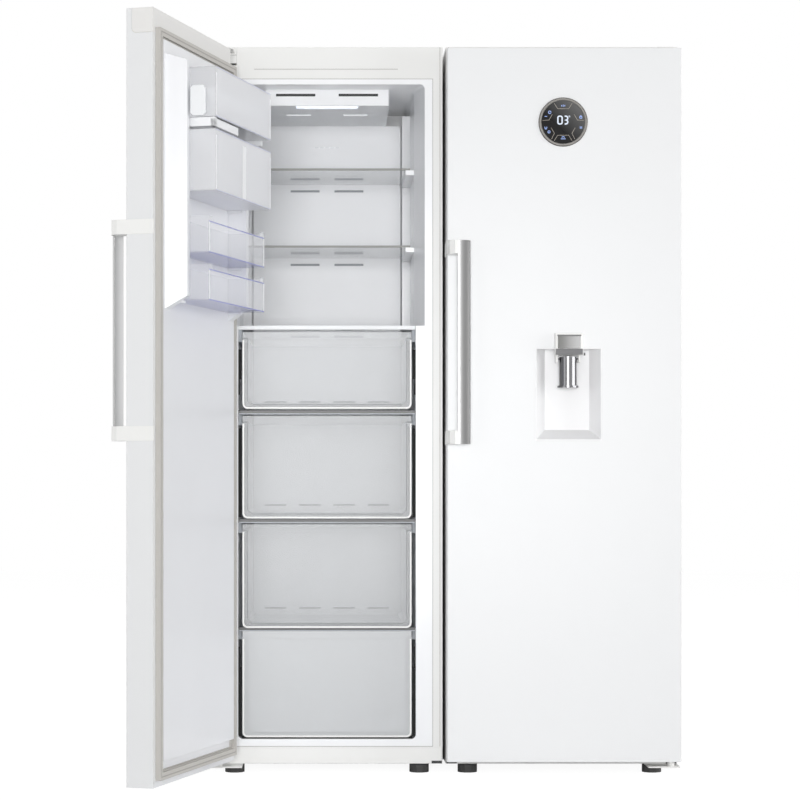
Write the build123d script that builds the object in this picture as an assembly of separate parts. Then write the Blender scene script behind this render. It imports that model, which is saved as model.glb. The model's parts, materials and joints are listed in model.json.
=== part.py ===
"""Side-by-side refrigerator: an upright freezer and an upright fridge, joined as a twin pair.

The freezer stands on the left with its door hinged on the left and standing open, and the fridge on
the right with its door hinged on the right and closed. The pair is laid out with X = 0 in the middle
of the freezer, Y = 0 on the front plane of the cabinets with +Y towards their backs, and Z = 0 on
the floor. At the end all of it moves so that the origin lies on the floor, in the middle of the
whole object's outline as seen from above.
"""
from build123d import *
import os

# ---------------------------------------------------------------------------
# Driving dimensions, in millimetres and degrees
# ---------------------------------------------------------------------------

# Cabinets
cabinet_width = 590.0
cabinet_depth = 610.0
cabinet_height = 1829.0
cabinet_gap = 8.0             # between the two cabinets
sheet = 1.0                   # steel of the outer shells and door skins
frame_width = 25.0            # steel front frame at the sides
top_band = 81.0               # steel band above the mouth
plinth_height = 39.0
plinth_depth = 10.0
sill_lip = 5.0                # steel below the liner's flange
sill_height = 24.0            # from the plinth to the floor of the cavity
fit_gap = 0.3                 # between neighbours that are fitted loosely
past = 1.0                    # how far a cut runs past the face that it opens

# Feet
foot_height = 26.0
foot_radius = 25.0
foot_inset = 58.0             # foot centre from the cabinet's side
foot_setback = 48.0           # foot centre from the cabinet's front or back
foot_pad = 21.0
foot_stud_radius = 6.0
foot_sides = 10
foot_stud_sides = 6

# Liner cavities
liner_wall = 2.0
side_wall = 68.3              # from the cabinet's side to the inside of the liner
cavity_depth = 530.0
cavity_corner = 12.0
mouth_inset = 45.4            # from the cabinet's side to the mouth's edge
mouth_taper = 120.0           # depth over which the mouth narrows to the cavity
ceiling_drop = 95.0           # from the cabinet's top to the ceiling of the cavity
drawer_zone_top = 1144.0      # the freezer's mouth is straight below this height
hump_front = 362.0            # step in the cavity over the compressor
hump_top = 345.0
hump_insulation = 55.0
machine_side_wall = 45.0      # foam beside the compressor's space

# Freezer cooling unit
duct_side_gap = 22.7          # from the duct cover to the liner's side
duct_front = 436.0
duct_wall = 3.0
duct_corner = 4.0
duct_bottom = 380.0
slot_height = 6.0
air_slot_width = 79.0
air_slot_centre = 60.0
air_slot_drops = (187.0, 220.0, 390.0, 421.0, 598.0, 618.0)   # below the ceiling
return_slot_drop = 101.0
return_slot_width = 9.0
return_slot_height = 2.0
return_slot_span = 56.0       # between the centres of the outer return slots
return_slots = 5
evaporator_side_gap = 31.0    # from the duct cover's wall
evaporator_depth = 60.0
evaporator_drop = 240.0       # below the ceiling
evaporator_height = 320.0
evaporator_fins = 12
evaporator_fin = 6.0
evaporator_fin_reach = 18.0
suction_pipe_radius = 5.0
pipe_sides = 8
suction_pipe_length = 60.0
suction_pipe_setback = 20.0
suction_pipe_span = 170.0
fan_box_width = 322.0
fan_box_front = 78.0
fan_box_height = 42.0
fan_box_wall = 2.5
fan_box_corner = 5.0
fan_slot_width = 102.0
fan_slot_centre = 81.0
fan_slot_height = 5.0
fan_slot_drop = 12.0          # from the ceiling to the top of a front slot
intake_width = 64.0
intake_depth = 8.0
intake_centre = 75.0
intake_setback = 150.0        # from the fan box's front
lens_width = 160.0
lens_depth = 34.0
lens_thick = 4.0
lens_bulge = 2.0              # below the fan box
lens_edge_radius = 1.5
lens_setback = 8.0
motor_radius = 26.0
motor_sides = 12
motor_height = 12.0
motor_setback = 225.0         # motor's axis behind the fan box's front
shaft_radius = 3.0
shaft_recess = 2.0            # shaft's end above the rotor's bottom
running_fit = 0.06            # radial play of a pin or shaft in its bore
rotor_radius = 62.0
rotor_sides = 24
rotor_hub = 12.0
rotor_blades = 9
rotor_height = 16.0
rotor_plate = 2.0
rotor_clearance = 3.0
blade_thick = 2.0
blade_angle = 35.0
blade_start = 24.0            # radius at which the blades begin
blade_length = 36.0

# Freezer shelves, drawers and their dividers
glass = 4.0
shelf_front = 125.0
shelf_back = 432.0
shelf_strip = 5.0
strip_lift = 1.0              # strip above the glass
shelf_drops = (203.0, 404.0)  # below the ceiling
shelf_rib_depth = 22.0
shelf_side_gap = 14.3         # from a shelf's glass to the liner's side
strip_side_gap = 10.0
column_depth = 22.4           # moulded column beside the duct cover, from the liner's side
column_front = 400.0
column_gap = 20.0             # from the columns' top to the ceiling
column_notch_gap = 1.0        # from a column to the glass that is cut out round it
boss_radius = 9.0
boss_sides = 12
boss_proud = 3.0
boss_inset = 11.0             # boss's centre from the liner's side
boss_drop = 21.0              # boss's centre under its shelf
shelf_rib_height = 12.0
drawer_zone_front = 30.0      # front of the shelf over the drawers
drawer_side_gap = 10.7        # from a drawer's front to the liner's side
drawer_front_setback = 4.0
drawer_front_thick = 5.0
drawer_pocket = 2.0
drawer_rim = 5.0
drawer_grip = 20.0
drawer_wall = 2.5
drawer_corner = 12.0
drawer_tub_inset = 11.5       # tub's side behind the front's edge
drawer_floor_rise = 10.0
drawer_top_drop = 14.0
drawer_flange = 3.0
flange_inset = 1.0            # flange's edge behind the front's edge
drawer_back = 400.0
short_drawer_back = 346.0     # in front of the step over the compressor
drawer_levels = ((932.0, 1128.0), (652.0, 914.0), (372.0, 637.0), (93.0, 364.0))
drawer_shelf_level = 1139.0
divider_levels = (921.0, 643.0, 366.0)
divider_front = 24.0
divider_trim_depth = 8.0
divider_trim_lift = 3.0
drawer_slot_width = 60.0
drawer_slot_span = 280.0      # between the centres of the outer slots
drawer_slot_rise = 18.0
drawer_slot_height = 5.0
drawer_slots = 4
runner_thick = 6.0
runner_web = 7.5
runner_ledge = 19.5
runner_front = 40.0

# Doors
door_side_clearance = 0.5     # how far a door is wider than its cabinet, on each side
door_bottom = 39.0
door_top_drop = 16.0
door_thick = 66.0
door_gap = 13.0               # between a door and its cabinet
door_flange = 14.0
door_edge_radius = 3.0
cap_thick = 12.0
cap_lip = 44.0                # how far the top cap runs down the door's back
cap_wall = 2.0
cap_tab_height = 57.0
cap_tab_width = 52.0
cap_tab_corner = 12.0
notch_width = 30.0            # corner left out of a door's back beside its top hinge
notch_depth = 24.0
pin_inset = 22.0              # hinge axis from the door's edge
pin_setback = 46.0            # hinge axis in front of the cabinet
freezer_door_angle = 106.2    # how far the freezer's door stands open
gasket_inset = 16.0           # from the door's edges at the sides and below
gasket_width = 22.0
gasket_seal_gap = 0.6
gasket_foot = 6.0
gasket_bead_inset = 4.0
plateau_inset = 38.0          # from the door's edge to the raised liner, at the sides
plateau_top_inset = 68.0
plateau_bottom_inset = 58.0
plateau_gap = 1.0             # between the raised liner and the cabinet's front plane
dyke_inset = 11.5             # from the raised liner's edge to the dyke's outer foot
dyke_lean = 17.0              # how far the dyke's outer side leans in
dyke_width = 17.0             # across the dyke's face
dyke_rise = 48.0
dyke_slant = 30.0             # at the dykes' foot
dyke_top_slant = 13.0
dyke_top_gap = 20.0           # from the dykes' top to the cavity's ceiling
freezer_dyke_lift = 4.0       # dykes' foot above the straight mouth
fridge_dyke_bottom = 150.0
lug_depth = 7.0
lug_length = 36.0
lug_height = 5.0

# Hinges
pin_radius = 5.0
pin_reach = 10.0              # engagement in the door's cap
hinge_plate = 4.0
hinge_plate_rise = 1.5        # top hinge plate above the door's top
hinge_width = 52.0
hinge_inset = 6.0             # top plate from the cabinet's side
hinge_corner = 8.0
arm_clearance = 0.5           # round the top plate, where it leaves its cover
hinge_front_reach = 16.0      # plate in front of the pin
pocket_width = 64.0
pocket_depth = 70.0
pocket_height = 46.0
cover_wall = 2.0
cover_lift = 5.0              # slot under the hinge cover
collar_radius = 9.0
collar_sides = 12
stud_hole = 14.0              # square hole for a foot's stud
lower_plate_depth = 80.0
lower_plate_width = 80.0

# Handles
handle_bottom = 840.0
handle_length = 511.0
handle_bar_thick = 4.0
bracket_height = 34.0
bracket_wrap = 2.0
bracket_reach = 38.0
bracket_lip = 1.5
bracket_lip_reach = 3.0
bracket_corner = 10.0
bracket_nose = 8.0
bracket_end = 40.5            # bracket's height where it ends under the grip
bar_near = (26.0, 43.0)       # from the door's free edge, and out from its face
bar_mid = (47.0, 38.5)
bar_far = (64.0, 27.0)

# Freezer door bins and ice maker
bin_wall = 2.5
bin_drops = ((560.0, 86.0), (671.0, 85.0))    # bottom below the door's top, and height
bin_depth = 95.0
bin_dip = 12.0
bin_horn = 36.7               # length of the raised ends
bucket_drop = 416.0           # its bottom below the door's top
bucket_height = 143.0
bucket_depth = 112.0
bucket_rib = 10.0
bucket_rib_thick = 2.0
ice_box_drop = 244.0          # its bottom below the door's top
ice_box_height = 116.0
tray_axis_out = 71.0          # tray's axis from the raised liner
tray_axis_rise = 54.0
tray_width = 64.0
tray_depth = 30.0
tray_end_gap = 9.7            # from the tray to the housing's end
tray_wall = 2.0
tray_rows = 2
tray_columns = 9
journal_radius = 5.0
lever_thick = 8.0
lever_gap = 2.0               # from the housing
lever_drop = 52.0             # from the tray's axis to the lever's foot
lever_head = 18.0             # from the tray's axis to the lever's top
lever_half = 18.0
lever_corner = 6.0

# Fridge door fittings
panel_drop = 187.0            # panel's centre below the door's top
panel_shift = -3.0            # panel's centre from the middle of the door
panel_radius = 62.0
panel_sides = 48
cup_sides = 24
panel_glass_radius = 55.0
panel_proud = 3.0
panel_cup_depth = 18.0
panel_cup_wall = 2.0
glass_disc = 3.0
glass_recess = 0.8            # behind the ring's face
module_radius = 41.0
recess_shift = 11.0
recess_width = 167.0
recess_bottom = 850.0
recess_top = 1082.0
recess_depth = 45.0
recess_bevel = 25.0
recess_wall = 2.0
head_width = 71.0
head_bottom = 1065.0
head_top = 1119.0
head_proud = 15.0
head_plate_width = 57.5
head_plate_height = 34.5
head_plate_proud = 1.5
head_plate_drop = 4.0         # from the head's top
head_corner = 4.0
head_arm_width = 62.0
cheek_thick = 5.0
cheek_depth = 18.0
lever_axis_level = 1056.0
lever_axis_inset = 18.0       # behind the door's face
lever_radius = 22.0
lever_sides = 32
lever_shell = 3.0
lever_bottom = 988.0
lever_rim_radius = 26.5
lever_rim_bottom = 983.0
lever_pin_radius = 2.5
lever_pin_play = 0.5          # from the pin's end to the cheek's face
lever_web_front = 5.0
lever_web_back = 4.0
lever_web_inset = 2.0
lever_cap = 4.0
lever_rise = 5.0              # lever's top above its axis
tank_width = 300.0
tank_bottom = 1078.0
tank_height = 214.0
tank_depth = 90.0
tank_lid = 8.0
filler_width = 60.0
filler_depth = 40.0
lid_overhang = 2.0
outlet_radius = 9.0
outlet_level = 1100.0

# Fridge compartment
fridge_shelf_levels = (1490.0, 1240.0, 990.0, 740.0)
fridge_shelf_front = 130.0
fridge_shelf_back = 522.0
crisper_back = 480.0
crisper_levels = ((545.0, 726.0), (365.0, 530.0))
crisper_front = 130.0
crisper_rib_setback = 10.0    # from the crisper's front
fridge_bin_levels = ((250.0, 100.0), (560.0, 95.0), (820.0, 95.0), (1400.0, 90.0))

# Backs of the cabinets
louvre_rows = 6
louvre_pitch = 26.0
louvre_width = 320.0
louvre_height = 7.0
louvre_bottom = 70.0
compressor_radius = 72.0
compressor_height = 150.0
compressor_sides = 16
grommet_sides = 8
compressor_dome = 28.0         # height of the pot's sloping lid
compressor_dome_run = 40.0
compressor_shift = -90.0
compressor_base = (190.0, 140.0, 3.0)
grommet_height = 10.0
grommet_radius = 9.0
grommet_inset = 16.0          # from the foot plate's edges
carrier_thick = 2.0           # steel tray under the compressor
inlet_width = 48.0
inlet_height = 30.0
inlet_depth = 12.0
inlet_wall = 4.0
inlet_shift = 190.0
inlet_level = 232.0
joining_plate = (70.0, 60.0, 2.0)
joining_setback = 60.0

# ---------------------------------------------------------------------------
# Derived sizes
# ---------------------------------------------------------------------------

cabinet_bottom = foot_height
cabinet_top = cabinet_bottom + cabinet_height
cabinet_half = cabinet_width / 2
pair_pitch = cabinet_width + cabinet_gap
sill_bottom = cabinet_bottom + plinth_height
cavity_floor = sill_bottom + sill_height
cavity_ceiling = cabinet_top - ceiling_drop
cavity_half = cabinet_half - side_wall
mouth_half = cabinet_half - mouth_inset
band_bottom = cabinet_top - top_band
window_half = cabinet_half - frame_width
machine_half = cabinet_half - machine_side_wall
duct_half = cavity_half - duct_side_gap
drawer_half = cavity_half - drawer_side_gap
shelf_half = cavity_half - shelf_side_gap
shelf_levels = tuple(cavity_ceiling - drop for drop in shelf_drops)

door_half = cabinet_half + door_side_clearance
door_top = cabinet_top - door_top_drop
door_front = -door_gap - door_thick
door_back = -door_gap
pin_x = door_half - pin_inset
pin_y = -pin_setback
plateau_half = door_half - plateau_inset
plateau_face = -plateau_gap
dyke_face = plateau_face + dyke_rise
dyke_base_half = plateau_half - dyke_inset
dyke_top_half = dyke_base_half - dyke_lean
dyke_inner_half = dyke_top_half - dyke_width
dyke_top = cavity_ceiling - dyke_top_gap
freezer_dyke_bottom = drawer_zone_top + freezer_dyke_lift
bin_half = dyke_inner_half - fit_gap
bin_back = plateau_face + fit_gap
bin_levels = tuple((door_top - drop, height) for drop, height in bin_drops)
bucket_bottom = door_top - bucket_drop
ice_box_bottom = door_top - ice_box_drop
panel_level = door_top - panel_drop
drawer_backs = (drawer_back, drawer_back, drawer_back, short_drawer_back)
drawer_names = ("drawer_1", "drawer_2", "drawer_3", "drawer_4")
fan_y = fan_box_front + motor_setback
rotor_top = cavity_ceiling - motor_height - rotor_clearance
rotor_bottom = rotor_top - rotor_height
tray_y = plateau_face + tray_axis_out
tray_z = ice_box_bottom + tray_axis_rise

FREEZER, FRIDGE = -1, 1       # the side of its cabinet on which a door is hinged


# ---------------------------------------------------------------------------
# Shapes used throughout
# ---------------------------------------------------------------------------

def block(x, y, z):
    """Box between three (low, high) pairs."""
    centre = ((x[0] + x[1]) / 2, (y[0] + y[1]) / 2, (z[0] + z[1]) / 2)
    return Pos(*centre) * Box(x[1] - x[0], y[1] - y[0], z[1] - z[0])


def band(half, y, z):
    """Box that is symmetrical about X = 0."""
    return block((-half, half), y, z)


def sided(side, near, far, y, z):
    """Box between two distances from X = 0, on one side of it."""
    return block(sorted((side * near, side * far)), y, z)


def rod(axis, radius, start, end, first, second):
    """Cylinder along one axis; first and second are its other two coordinates, in axis order."""
    plane = {
        "X": Plane(origin=(start, first, second), z_dir=(1, 0, 0)),
        "Y": Plane(origin=(first, start, second), z_dir=(0, 1, 0)),
        "Z": Plane(origin=(first, second, start), z_dir=(0, 0, 1)),
    }[axis]
    return plane * extrude(Circle(radius), end - start)


def knob(sides, radius, start, end, x, y):
    """Upright many-sided prism, as for a foot that is turned by hand."""
    return Pos(x, y, start) * extrude(RegularPolygon(radius, sides), end - start)


def plan_prism(points, z):
    """Outline seen from above, raised between two heights."""
    face = make_face(Polyline(*points, close=True))
    return Pos(0, 0, z[0]) * extrude(face, z[1] - z[0], dir=(0, 0, 1))


def side_prism(points, x):
    """Outline in Y and Z, carried from one X to another."""
    face = Plane.YZ * make_face(Polyline(*points, close=True))
    return Pos(x[0], 0, 0) * extrude(face, x[1] - x[0], dir=(1, 0, 0))


def round_low(shape, along, radius):
    """Shape with its lowest edges along an axis rounded."""
    return fillet(shape.edges().filter_by(along).group_by(Axis.Z)[0], radius)


def slope_low(shape, along, size):
    """Shape with the lower of its edges along an axis cut at an angle."""
    return chamfer(shape.edges().filter_by(along).group_by(Axis.Z)[0], size)


def round_front(shape, along, radius):
    """Shape with its frontmost edges along an axis rounded."""
    return fillet(shape.edges().filter_by(along).group_by(Axis.Y)[0], radius)


def slots(width, centres, y, z):
    """Row of upright-walled slots, as tools to cut with."""
    return [block((c - width / 2, c + width / 2), y, z) for c in centres]


def spread(span, count):
    """Evenly spaced places over a span that is centred on zero."""
    return [span * (i / (count - 1) - 0.5) for i in range(count)]


def cut_all(shape, tools):
    """Shape less each tool in turn."""
    for tool in tools:
        shape = shape - tool
    return shape


def join(*shapes):
    """Separate solids that share one node."""
    return Compound([solid for shape in shapes for solid in shape.solids()])


# ---------------------------------------------------------------------------
# Cabinet: shell, foam, liner, back
# ---------------------------------------------------------------------------

def cavity(wall, straight_top):
    """Inside of a liner, grown by a wall; its mouth is straight up to straight_top."""
    half = cavity_half + wall
    mouth = mouth_half + wall
    back = cavity_depth + wall
    start = -plinth_depth
    outline = [
        (-mouth, start), (mouth, start), (mouth, 0), (half, mouth_taper), (half, back),
        (-half, back), (-half, mouth_taper), (-mouth, 0),
    ]
    upper = plan_prism(outline, (straight_top - wall, cavity_ceiling + wall))
    ceiling = upper.faces().sort_by(Axis.Z)[-1]
    side_edges = [e for e in ceiling.edges() if abs(e.tangent_at(0).X) < 0.9]
    space = fillet(side_edges, cavity_corner + wall)
    if straight_top > cavity_floor:
        lower = band(half, (start, back), (cavity_floor - wall, straight_top))
        space = space + round_low(lower, Axis.Y, cavity_corner + wall)
    hump = band(cabinet_width, (hump_front + wall, cabinet_depth), (0, hump_top - wall))
    return space - hump


def hinge_pocket(side, margin=0.0):
    """Corner of the cabinet that is left out for the top hinge and its cover."""
    return sided(
        side, cabinet_half - pocket_width, cabinet_half + margin,
        (-margin, pocket_depth), (cabinet_top - pocket_height, cabinet_top + margin),
    )


def machine_space():
    """Space low at the back for the compressor."""
    return band(
        machine_half, (hump_front + hump_insulation, cabinet_depth),
        (cabinet_bottom, hump_top - hump_insulation),
    )


def cabinet_shell(side):
    """Folded steel: sides, top, floor and the frame round the mouth."""
    outer = band(cabinet_half, (0, cabinet_depth), (cabinet_bottom, cabinet_top))
    inner = band(
        cabinet_half - sheet, (sheet, cabinet_depth + past),
        (cabinet_bottom + sheet, cabinet_top - sheet),
    )
    front = (-past, sheet + past)
    window = band(window_half, front, (sill_bottom + sill_lip, band_bottom))
    kick = band(cabinet_half - sheet, front, (cabinet_bottom + sheet, sill_bottom))
    return outer - inner - window - kick - hinge_pocket(side, margin=past)


def liner_flange(front):
    """Rim of the liner that fills the steel frame."""
    return band(window_half, (front, liner_wall), (sill_bottom + sill_lip, band_bottom))


def cabinet_insulation(side, straight_top):
    """Foam between the shell and the liner."""
    foam = band(
        cabinet_half - sheet, (sheet, cabinet_depth - sheet),
        (cabinet_bottom + sheet, cabinet_top - sheet),
    )
    kick = band(cabinet_half, (0, plinth_depth), (cabinet_bottom, sill_bottom))
    foam = foam - cavity(liner_wall, straight_top) - liner_flange(0) - machine_space()
    return foam - kick - hinge_pocket(side)


def wall_column(side, bottom):
    """Column moulded into the back of a side wall, as deep as the gap beside the duct cover."""
    z = (bottom, cavity_ceiling - column_gap)
    return sided(side, cavity_half - column_depth, cavity_half, (column_front, duct_front), z)


def shelf_boss(side, level):
    """Round boss on the front of a column, under the back of a shelf."""
    turned = Rot(90, 0, 0) * extrude(RegularPolygon(boss_radius, boss_sides), boss_proud)
    return Pos(side * (cavity_half - boss_inset), column_front, level - boss_drop) * turned


def cabinet_liner(straight_top, ribs, rib_back):
    """Moulded inner box with the ribs that carry its shelves."""
    behind_front = band(cabinet_half, (0, cabinet_depth), (0, cabinet_top))
    outside = (cavity(liner_wall, straight_top) & behind_front) + liner_flange(0)
    liner = outside - cavity(0, straight_top)
    for level, front in ribs:
        for side in (-1, 1):
            rib = sided(
                side, cavity_half - shelf_rib_depth, cavity_half,
                (front, rib_back), (level - shelf_rib_height, level),
            )
            liner = liner + rib
    return liner


def columns(bottom, levels):
    """Columns of both side walls with their bosses, as one piece with the liner."""
    pieces = [shelf_boss(side, level) for side in (-1, 1) for level in levels]
    return pieces + [wall_column(side, bottom) for side in (-1, 1)]


def rear_panel():
    """Back sheet with the louvres of the compressor space."""
    panel = band(
        cabinet_half - sheet, (cabinet_depth - sheet, cabinet_depth),
        (cabinet_bottom + sheet, cabinet_top - sheet),
    )
    for row in range(louvre_rows):
        low = louvre_bottom + row * louvre_pitch
        panel = panel - band(
            louvre_width / 2, (cabinet_depth - sheet - past, cabinet_depth + past), (low, low + louvre_height)
        )
    return panel


def plinth():
    """White strip under the frame."""
    return band(
        cabinet_half - sheet - fit_gap, (0, plinth_depth - fit_gap),
        (cabinet_bottom + sheet, sill_bottom),
    )


def compressor():
    """Welded steel pot on its foot plate and four rubber grommets, in its steel carrier."""
    carrier_y = (hump_front + hump_insulation + fit_gap, cabinet_depth - sheet - fit_gap)
    middle = sum(carrier_y) / 2
    floor = cabinet_bottom + sheet + carrier_thick
    carrier = band(machine_half - fit_gap, carrier_y, (floor - carrier_thick, floor))
    length, depth, thick = compressor_base
    plate_bottom = floor + grommet_height
    pot_bottom = plate_bottom + thick
    pot_top = pot_bottom + compressor_height
    pot = knob(compressor_sides, compressor_radius, pot_bottom, pot_top, compressor_shift, middle)
    pot = chamfer(pot.edges().group_by(Axis.Z)[-1], compressor_dome, compressor_dome_run)
    plate = Pos(compressor_shift, middle, plate_bottom + thick / 2) * Box(length, depth, thick)
    body = pot + plate
    for dx in (-1, 1):
        for dy in (-1, 1):
            x = compressor_shift + dx * (length / 2 - grommet_inset)
            y = middle + dy * (depth / 2 - grommet_inset)
            body = body + knob(grommet_sides, grommet_radius, floor, plate_bottom, x, y)
    return body + carrier


def power_inlet():
    """Socket for the mains lead, on the back sheet."""
    near, far = inlet_shift, inlet_shift + inlet_width
    low, high = inlet_level, inlet_level + inlet_height
    back = cabinet_depth + inlet_depth
    body = block((near, far), (cabinet_depth, back), (low, high))
    mouth = block(
        (near + inlet_wall, far - inlet_wall), (cabinet_depth + inlet_wall, back + past),
        (low + inlet_wall, high - inlet_wall),
    )
    return body - mouth


def feet(y):
    """Pair of feet under one cabinet."""
    pads = []
    for side in (-1, 1):
        x = side * (cabinet_half - foot_inset)
        pad = knob(foot_sides, foot_radius, 0, foot_pad, x, y)
        pads.append(pad + knob(foot_stud_sides, foot_stud_radius, foot_pad, foot_height, x, y))
    return pads


# ---------------------------------------------------------------------------
# Hinges
# ---------------------------------------------------------------------------

def hinges(side):
    """Top and bottom hinge of a cabinet, each a steel plate with its pin."""
    x = side * pin_x
    outer = cabinet_half - hinge_inset
    near, far = sorted((side * outer, side * (outer - hinge_width)))
    plate_low = door_top + hinge_plate_rise
    plate_high = plate_low + hinge_plate
    top_plate = block((near, far), (pin_y - hinge_front_reach, pocket_depth), (plate_low, plate_high))
    top_plate = round_front(top_plate, Axis.Z, hinge_corner)
    leg = block(
        (near, far), (pocket_depth - hinge_plate, pocket_depth), (cabinet_top - pocket_height, plate_low)
    )
    top_pin = rod("Z", pin_radius, door_top - pin_reach, plate_low, x, pin_y)

    low_near, low_far = sorted((side * cabinet_half, side * (cabinet_half - lower_plate_width)))
    low_z = (cabinet_bottom - hinge_plate, cabinet_bottom)
    low_plate = block((low_near, low_far), (pin_y - hinge_front_reach, lower_plate_depth), low_z)
    stud = Pos(side * (cabinet_half - foot_inset), foot_setback, sum(low_z) / 2) * Box(
        stud_hole, stud_hole, hinge_plate + 2 * past
    )
    collar = knob(collar_sides, collar_radius, cabinet_bottom, door_bottom - fit_gap, x, pin_y)
    low_pin = rod("Z", pin_radius, cabinet_bottom, door_bottom + pin_reach, x, pin_y)
    return join(top_plate + leg + top_pin, (low_plate - stud) + collar + low_pin)


def hinge_cover(side):
    """Moulded cap over the top hinge, flush with the cabinet's front, side and top."""
    outer = hinge_pocket(side) & sided(
        side, cabinet_half - pocket_width + fit_gap, cabinet_half,
        (0, pocket_depth), (cabinet_top - pocket_height + cover_lift, cabinet_top),
    )
    inner = sided(
        side, cabinet_half - pocket_width + cover_wall, cabinet_half - cover_wall,
        (cover_wall, pocket_depth + past), (0, cabinet_top - cover_wall),
    )
    arm_low = door_top + hinge_plate_rise
    arm_edge = cabinet_half - hinge_inset
    arm = sided(
        side, arm_edge - hinge_width - arm_clearance, arm_edge + arm_clearance, (-past, cover_wall + past),
        (arm_low - arm_clearance, arm_low + hinge_plate + arm_clearance),
    )
    return outer - inner - arm


# ---------------------------------------------------------------------------
# Freezer interior
# ---------------------------------------------------------------------------

def duct_cover():
    """Moulded cover over the evaporator, with pairs of air slots."""
    top = cavity_ceiling - fan_box_height
    outer = band(duct_half, (duct_front, cavity_depth), (duct_bottom, top))
    outer = chamfer(outer.edges().filter_by(Axis.Z).group_by(Axis.Y)[0], duct_corner)
    inner = band(
        duct_half - duct_wall, (duct_front + duct_wall, cavity_depth + past),
        (duct_bottom + duct_wall, top - duct_wall),
    )
    cover = outer - inner
    through = (duct_front - past, duct_front + duct_wall + past)
    for drop in air_slot_drops:
        level = cavity_ceiling - drop
        z = (level - slot_height / 2, level + slot_height / 2)
        cover = cut_all(cover, slots(air_slot_width, (-air_slot_centre, air_slot_centre), through, z))
    level = cavity_ceiling - return_slot_drop
    z = (level - return_slot_height / 2, level + return_slot_height / 2)
    return cut_all(cover, slots(return_slot_width, spread(return_slot_span, return_slots), through, z))


def evaporator():
    """Finned block with its suction pipes, against the liner's back."""
    y = (cavity_depth - evaporator_depth, cavity_depth)
    top = cavity_ceiling - evaporator_drop
    z = (top - evaporator_height, top)
    half = duct_half - duct_wall - evaporator_side_gap
    core = band(half, (y[0] + evaporator_fin_reach, y[1]), z)
    for x in spread(2 * half - evaporator_fin, evaporator_fins):
        core = core + block((x - evaporator_fin / 2, x + evaporator_fin / 2), y, z)
    for x in (-suction_pipe_span / 2, suction_pipe_span / 2):
        y_pipe = y[1] - suction_pipe_setback
        core = core + knob(pipe_sides, suction_pipe_radius, z[1], z[1] + suction_pipe_length, x, y_pipe)
    return core


def fan_housing():
    """Ceiling box of the fan and lamp: open above, slotted in front and below."""
    bottom = cavity_ceiling - fan_box_height
    half = fan_box_width / 2
    outer = band(half, (fan_box_front, duct_front), (bottom, cavity_ceiling))
    outer = round_front(outer, Axis.Z, fan_box_corner)
    inner = band(
        half - fan_box_wall, (fan_box_front + fan_box_wall, duct_front - fan_box_wall),
        (bottom + fan_box_wall, cavity_ceiling + past),
    )
    box = outer - inner
    front = (fan_box_front - past, fan_box_front + fan_box_wall + past)
    slot_top = cavity_ceiling - fan_slot_drop
    slot_z = (slot_top - fan_slot_height, slot_top)
    box = cut_all(box, slots(fan_slot_width, (-fan_slot_centre, fan_slot_centre), front, slot_z))
    below = (bottom - past, bottom + fan_box_wall + past)
    intake_front = fan_box_front + intake_setback
    intake_y = (intake_front, intake_front + intake_depth)
    box = cut_all(box, slots(intake_width, (-intake_centre, intake_centre), intake_y, below))
    lens_front = fan_box_front + lens_setback
    return box - band(lens_width / 2, (lens_front, lens_front + lens_depth), below)


def lamp_lens():
    """Clear lens in the underside of the fan housing."""
    bottom = cavity_ceiling - fan_box_height
    front = fan_box_front + lens_setback
    y = (front + fit_gap, front + lens_depth - fit_gap)
    low = bottom - lens_bulge
    lens = band(lens_width / 2 - fit_gap, y, (low, low + lens_bulge + lens_thick))
    return round_low(lens, Axis.X, lens_edge_radius)


def fan_motor():
    """Flat motor under the ceiling, with the shaft that the rotor turns on."""
    body = knob(motor_sides, motor_radius, cavity_ceiling - motor_height, cavity_ceiling, 0, fan_y)
    return body + rod("Z", shaft_radius, rotor_bottom + shaft_recess, cavity_ceiling - motor_height, 0, fan_y)


def fan_rotor():
    """Radial fan wheel: a plate with upright blades round a hub."""
    wheel = knob(rotor_sides, rotor_radius, rotor_top - rotor_plate, rotor_top, 0, fan_y)
    wheel = wheel + knob(motor_sides, rotor_hub, rotor_bottom, rotor_top, 0, fan_y)
    blade_height = rotor_height - rotor_plate
    blade = Rot(0, 0, blade_angle) * Box(blade_length, blade_thick, blade_height)
    blade = Pos(blade_start + blade_length / 2, 0, 0) * blade
    for turn in range(rotor_blades):
        place = Pos(0, fan_y, rotor_bottom + blade_height / 2) * Rot(0, 0, 360 * turn / rotor_blades)
        wheel = wheel + place * blade
    return wheel - rod("Z", shaft_radius + running_fit, rotor_bottom - past, rotor_top + past, 0, fan_y)


def shelf_glass(level, front, back):
    """Glass shelf on its ribs, behind its front strip."""
    return band(shelf_half, (front + shelf_strip, back), (level, level + glass))


def notched_glass(level):
    """Freezer shelf, cut out round the columns at the back."""
    rear_half = cavity_half - column_depth - column_notch_gap
    front_part = shelf_glass(level, shelf_front, column_front - column_notch_gap)
    return front_part + band(rear_half, (shelf_front + shelf_strip, shelf_back), (level, level + glass))


def shelf_edge(level, front):
    """Strip along the front of a glass shelf."""
    half = cavity_half - strip_side_gap
    return band(half, (front, front + shelf_strip), (level, level + glass + strip_lift))


def divider_trim(level, front):
    """Moulded front edge of the plate over a drawer."""
    low = level - divider_trim_lift
    high = level + glass + divider_trim_lift
    return band(cavity_half - fit_gap, (front - divider_trim_depth, front), (low, high))


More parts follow.
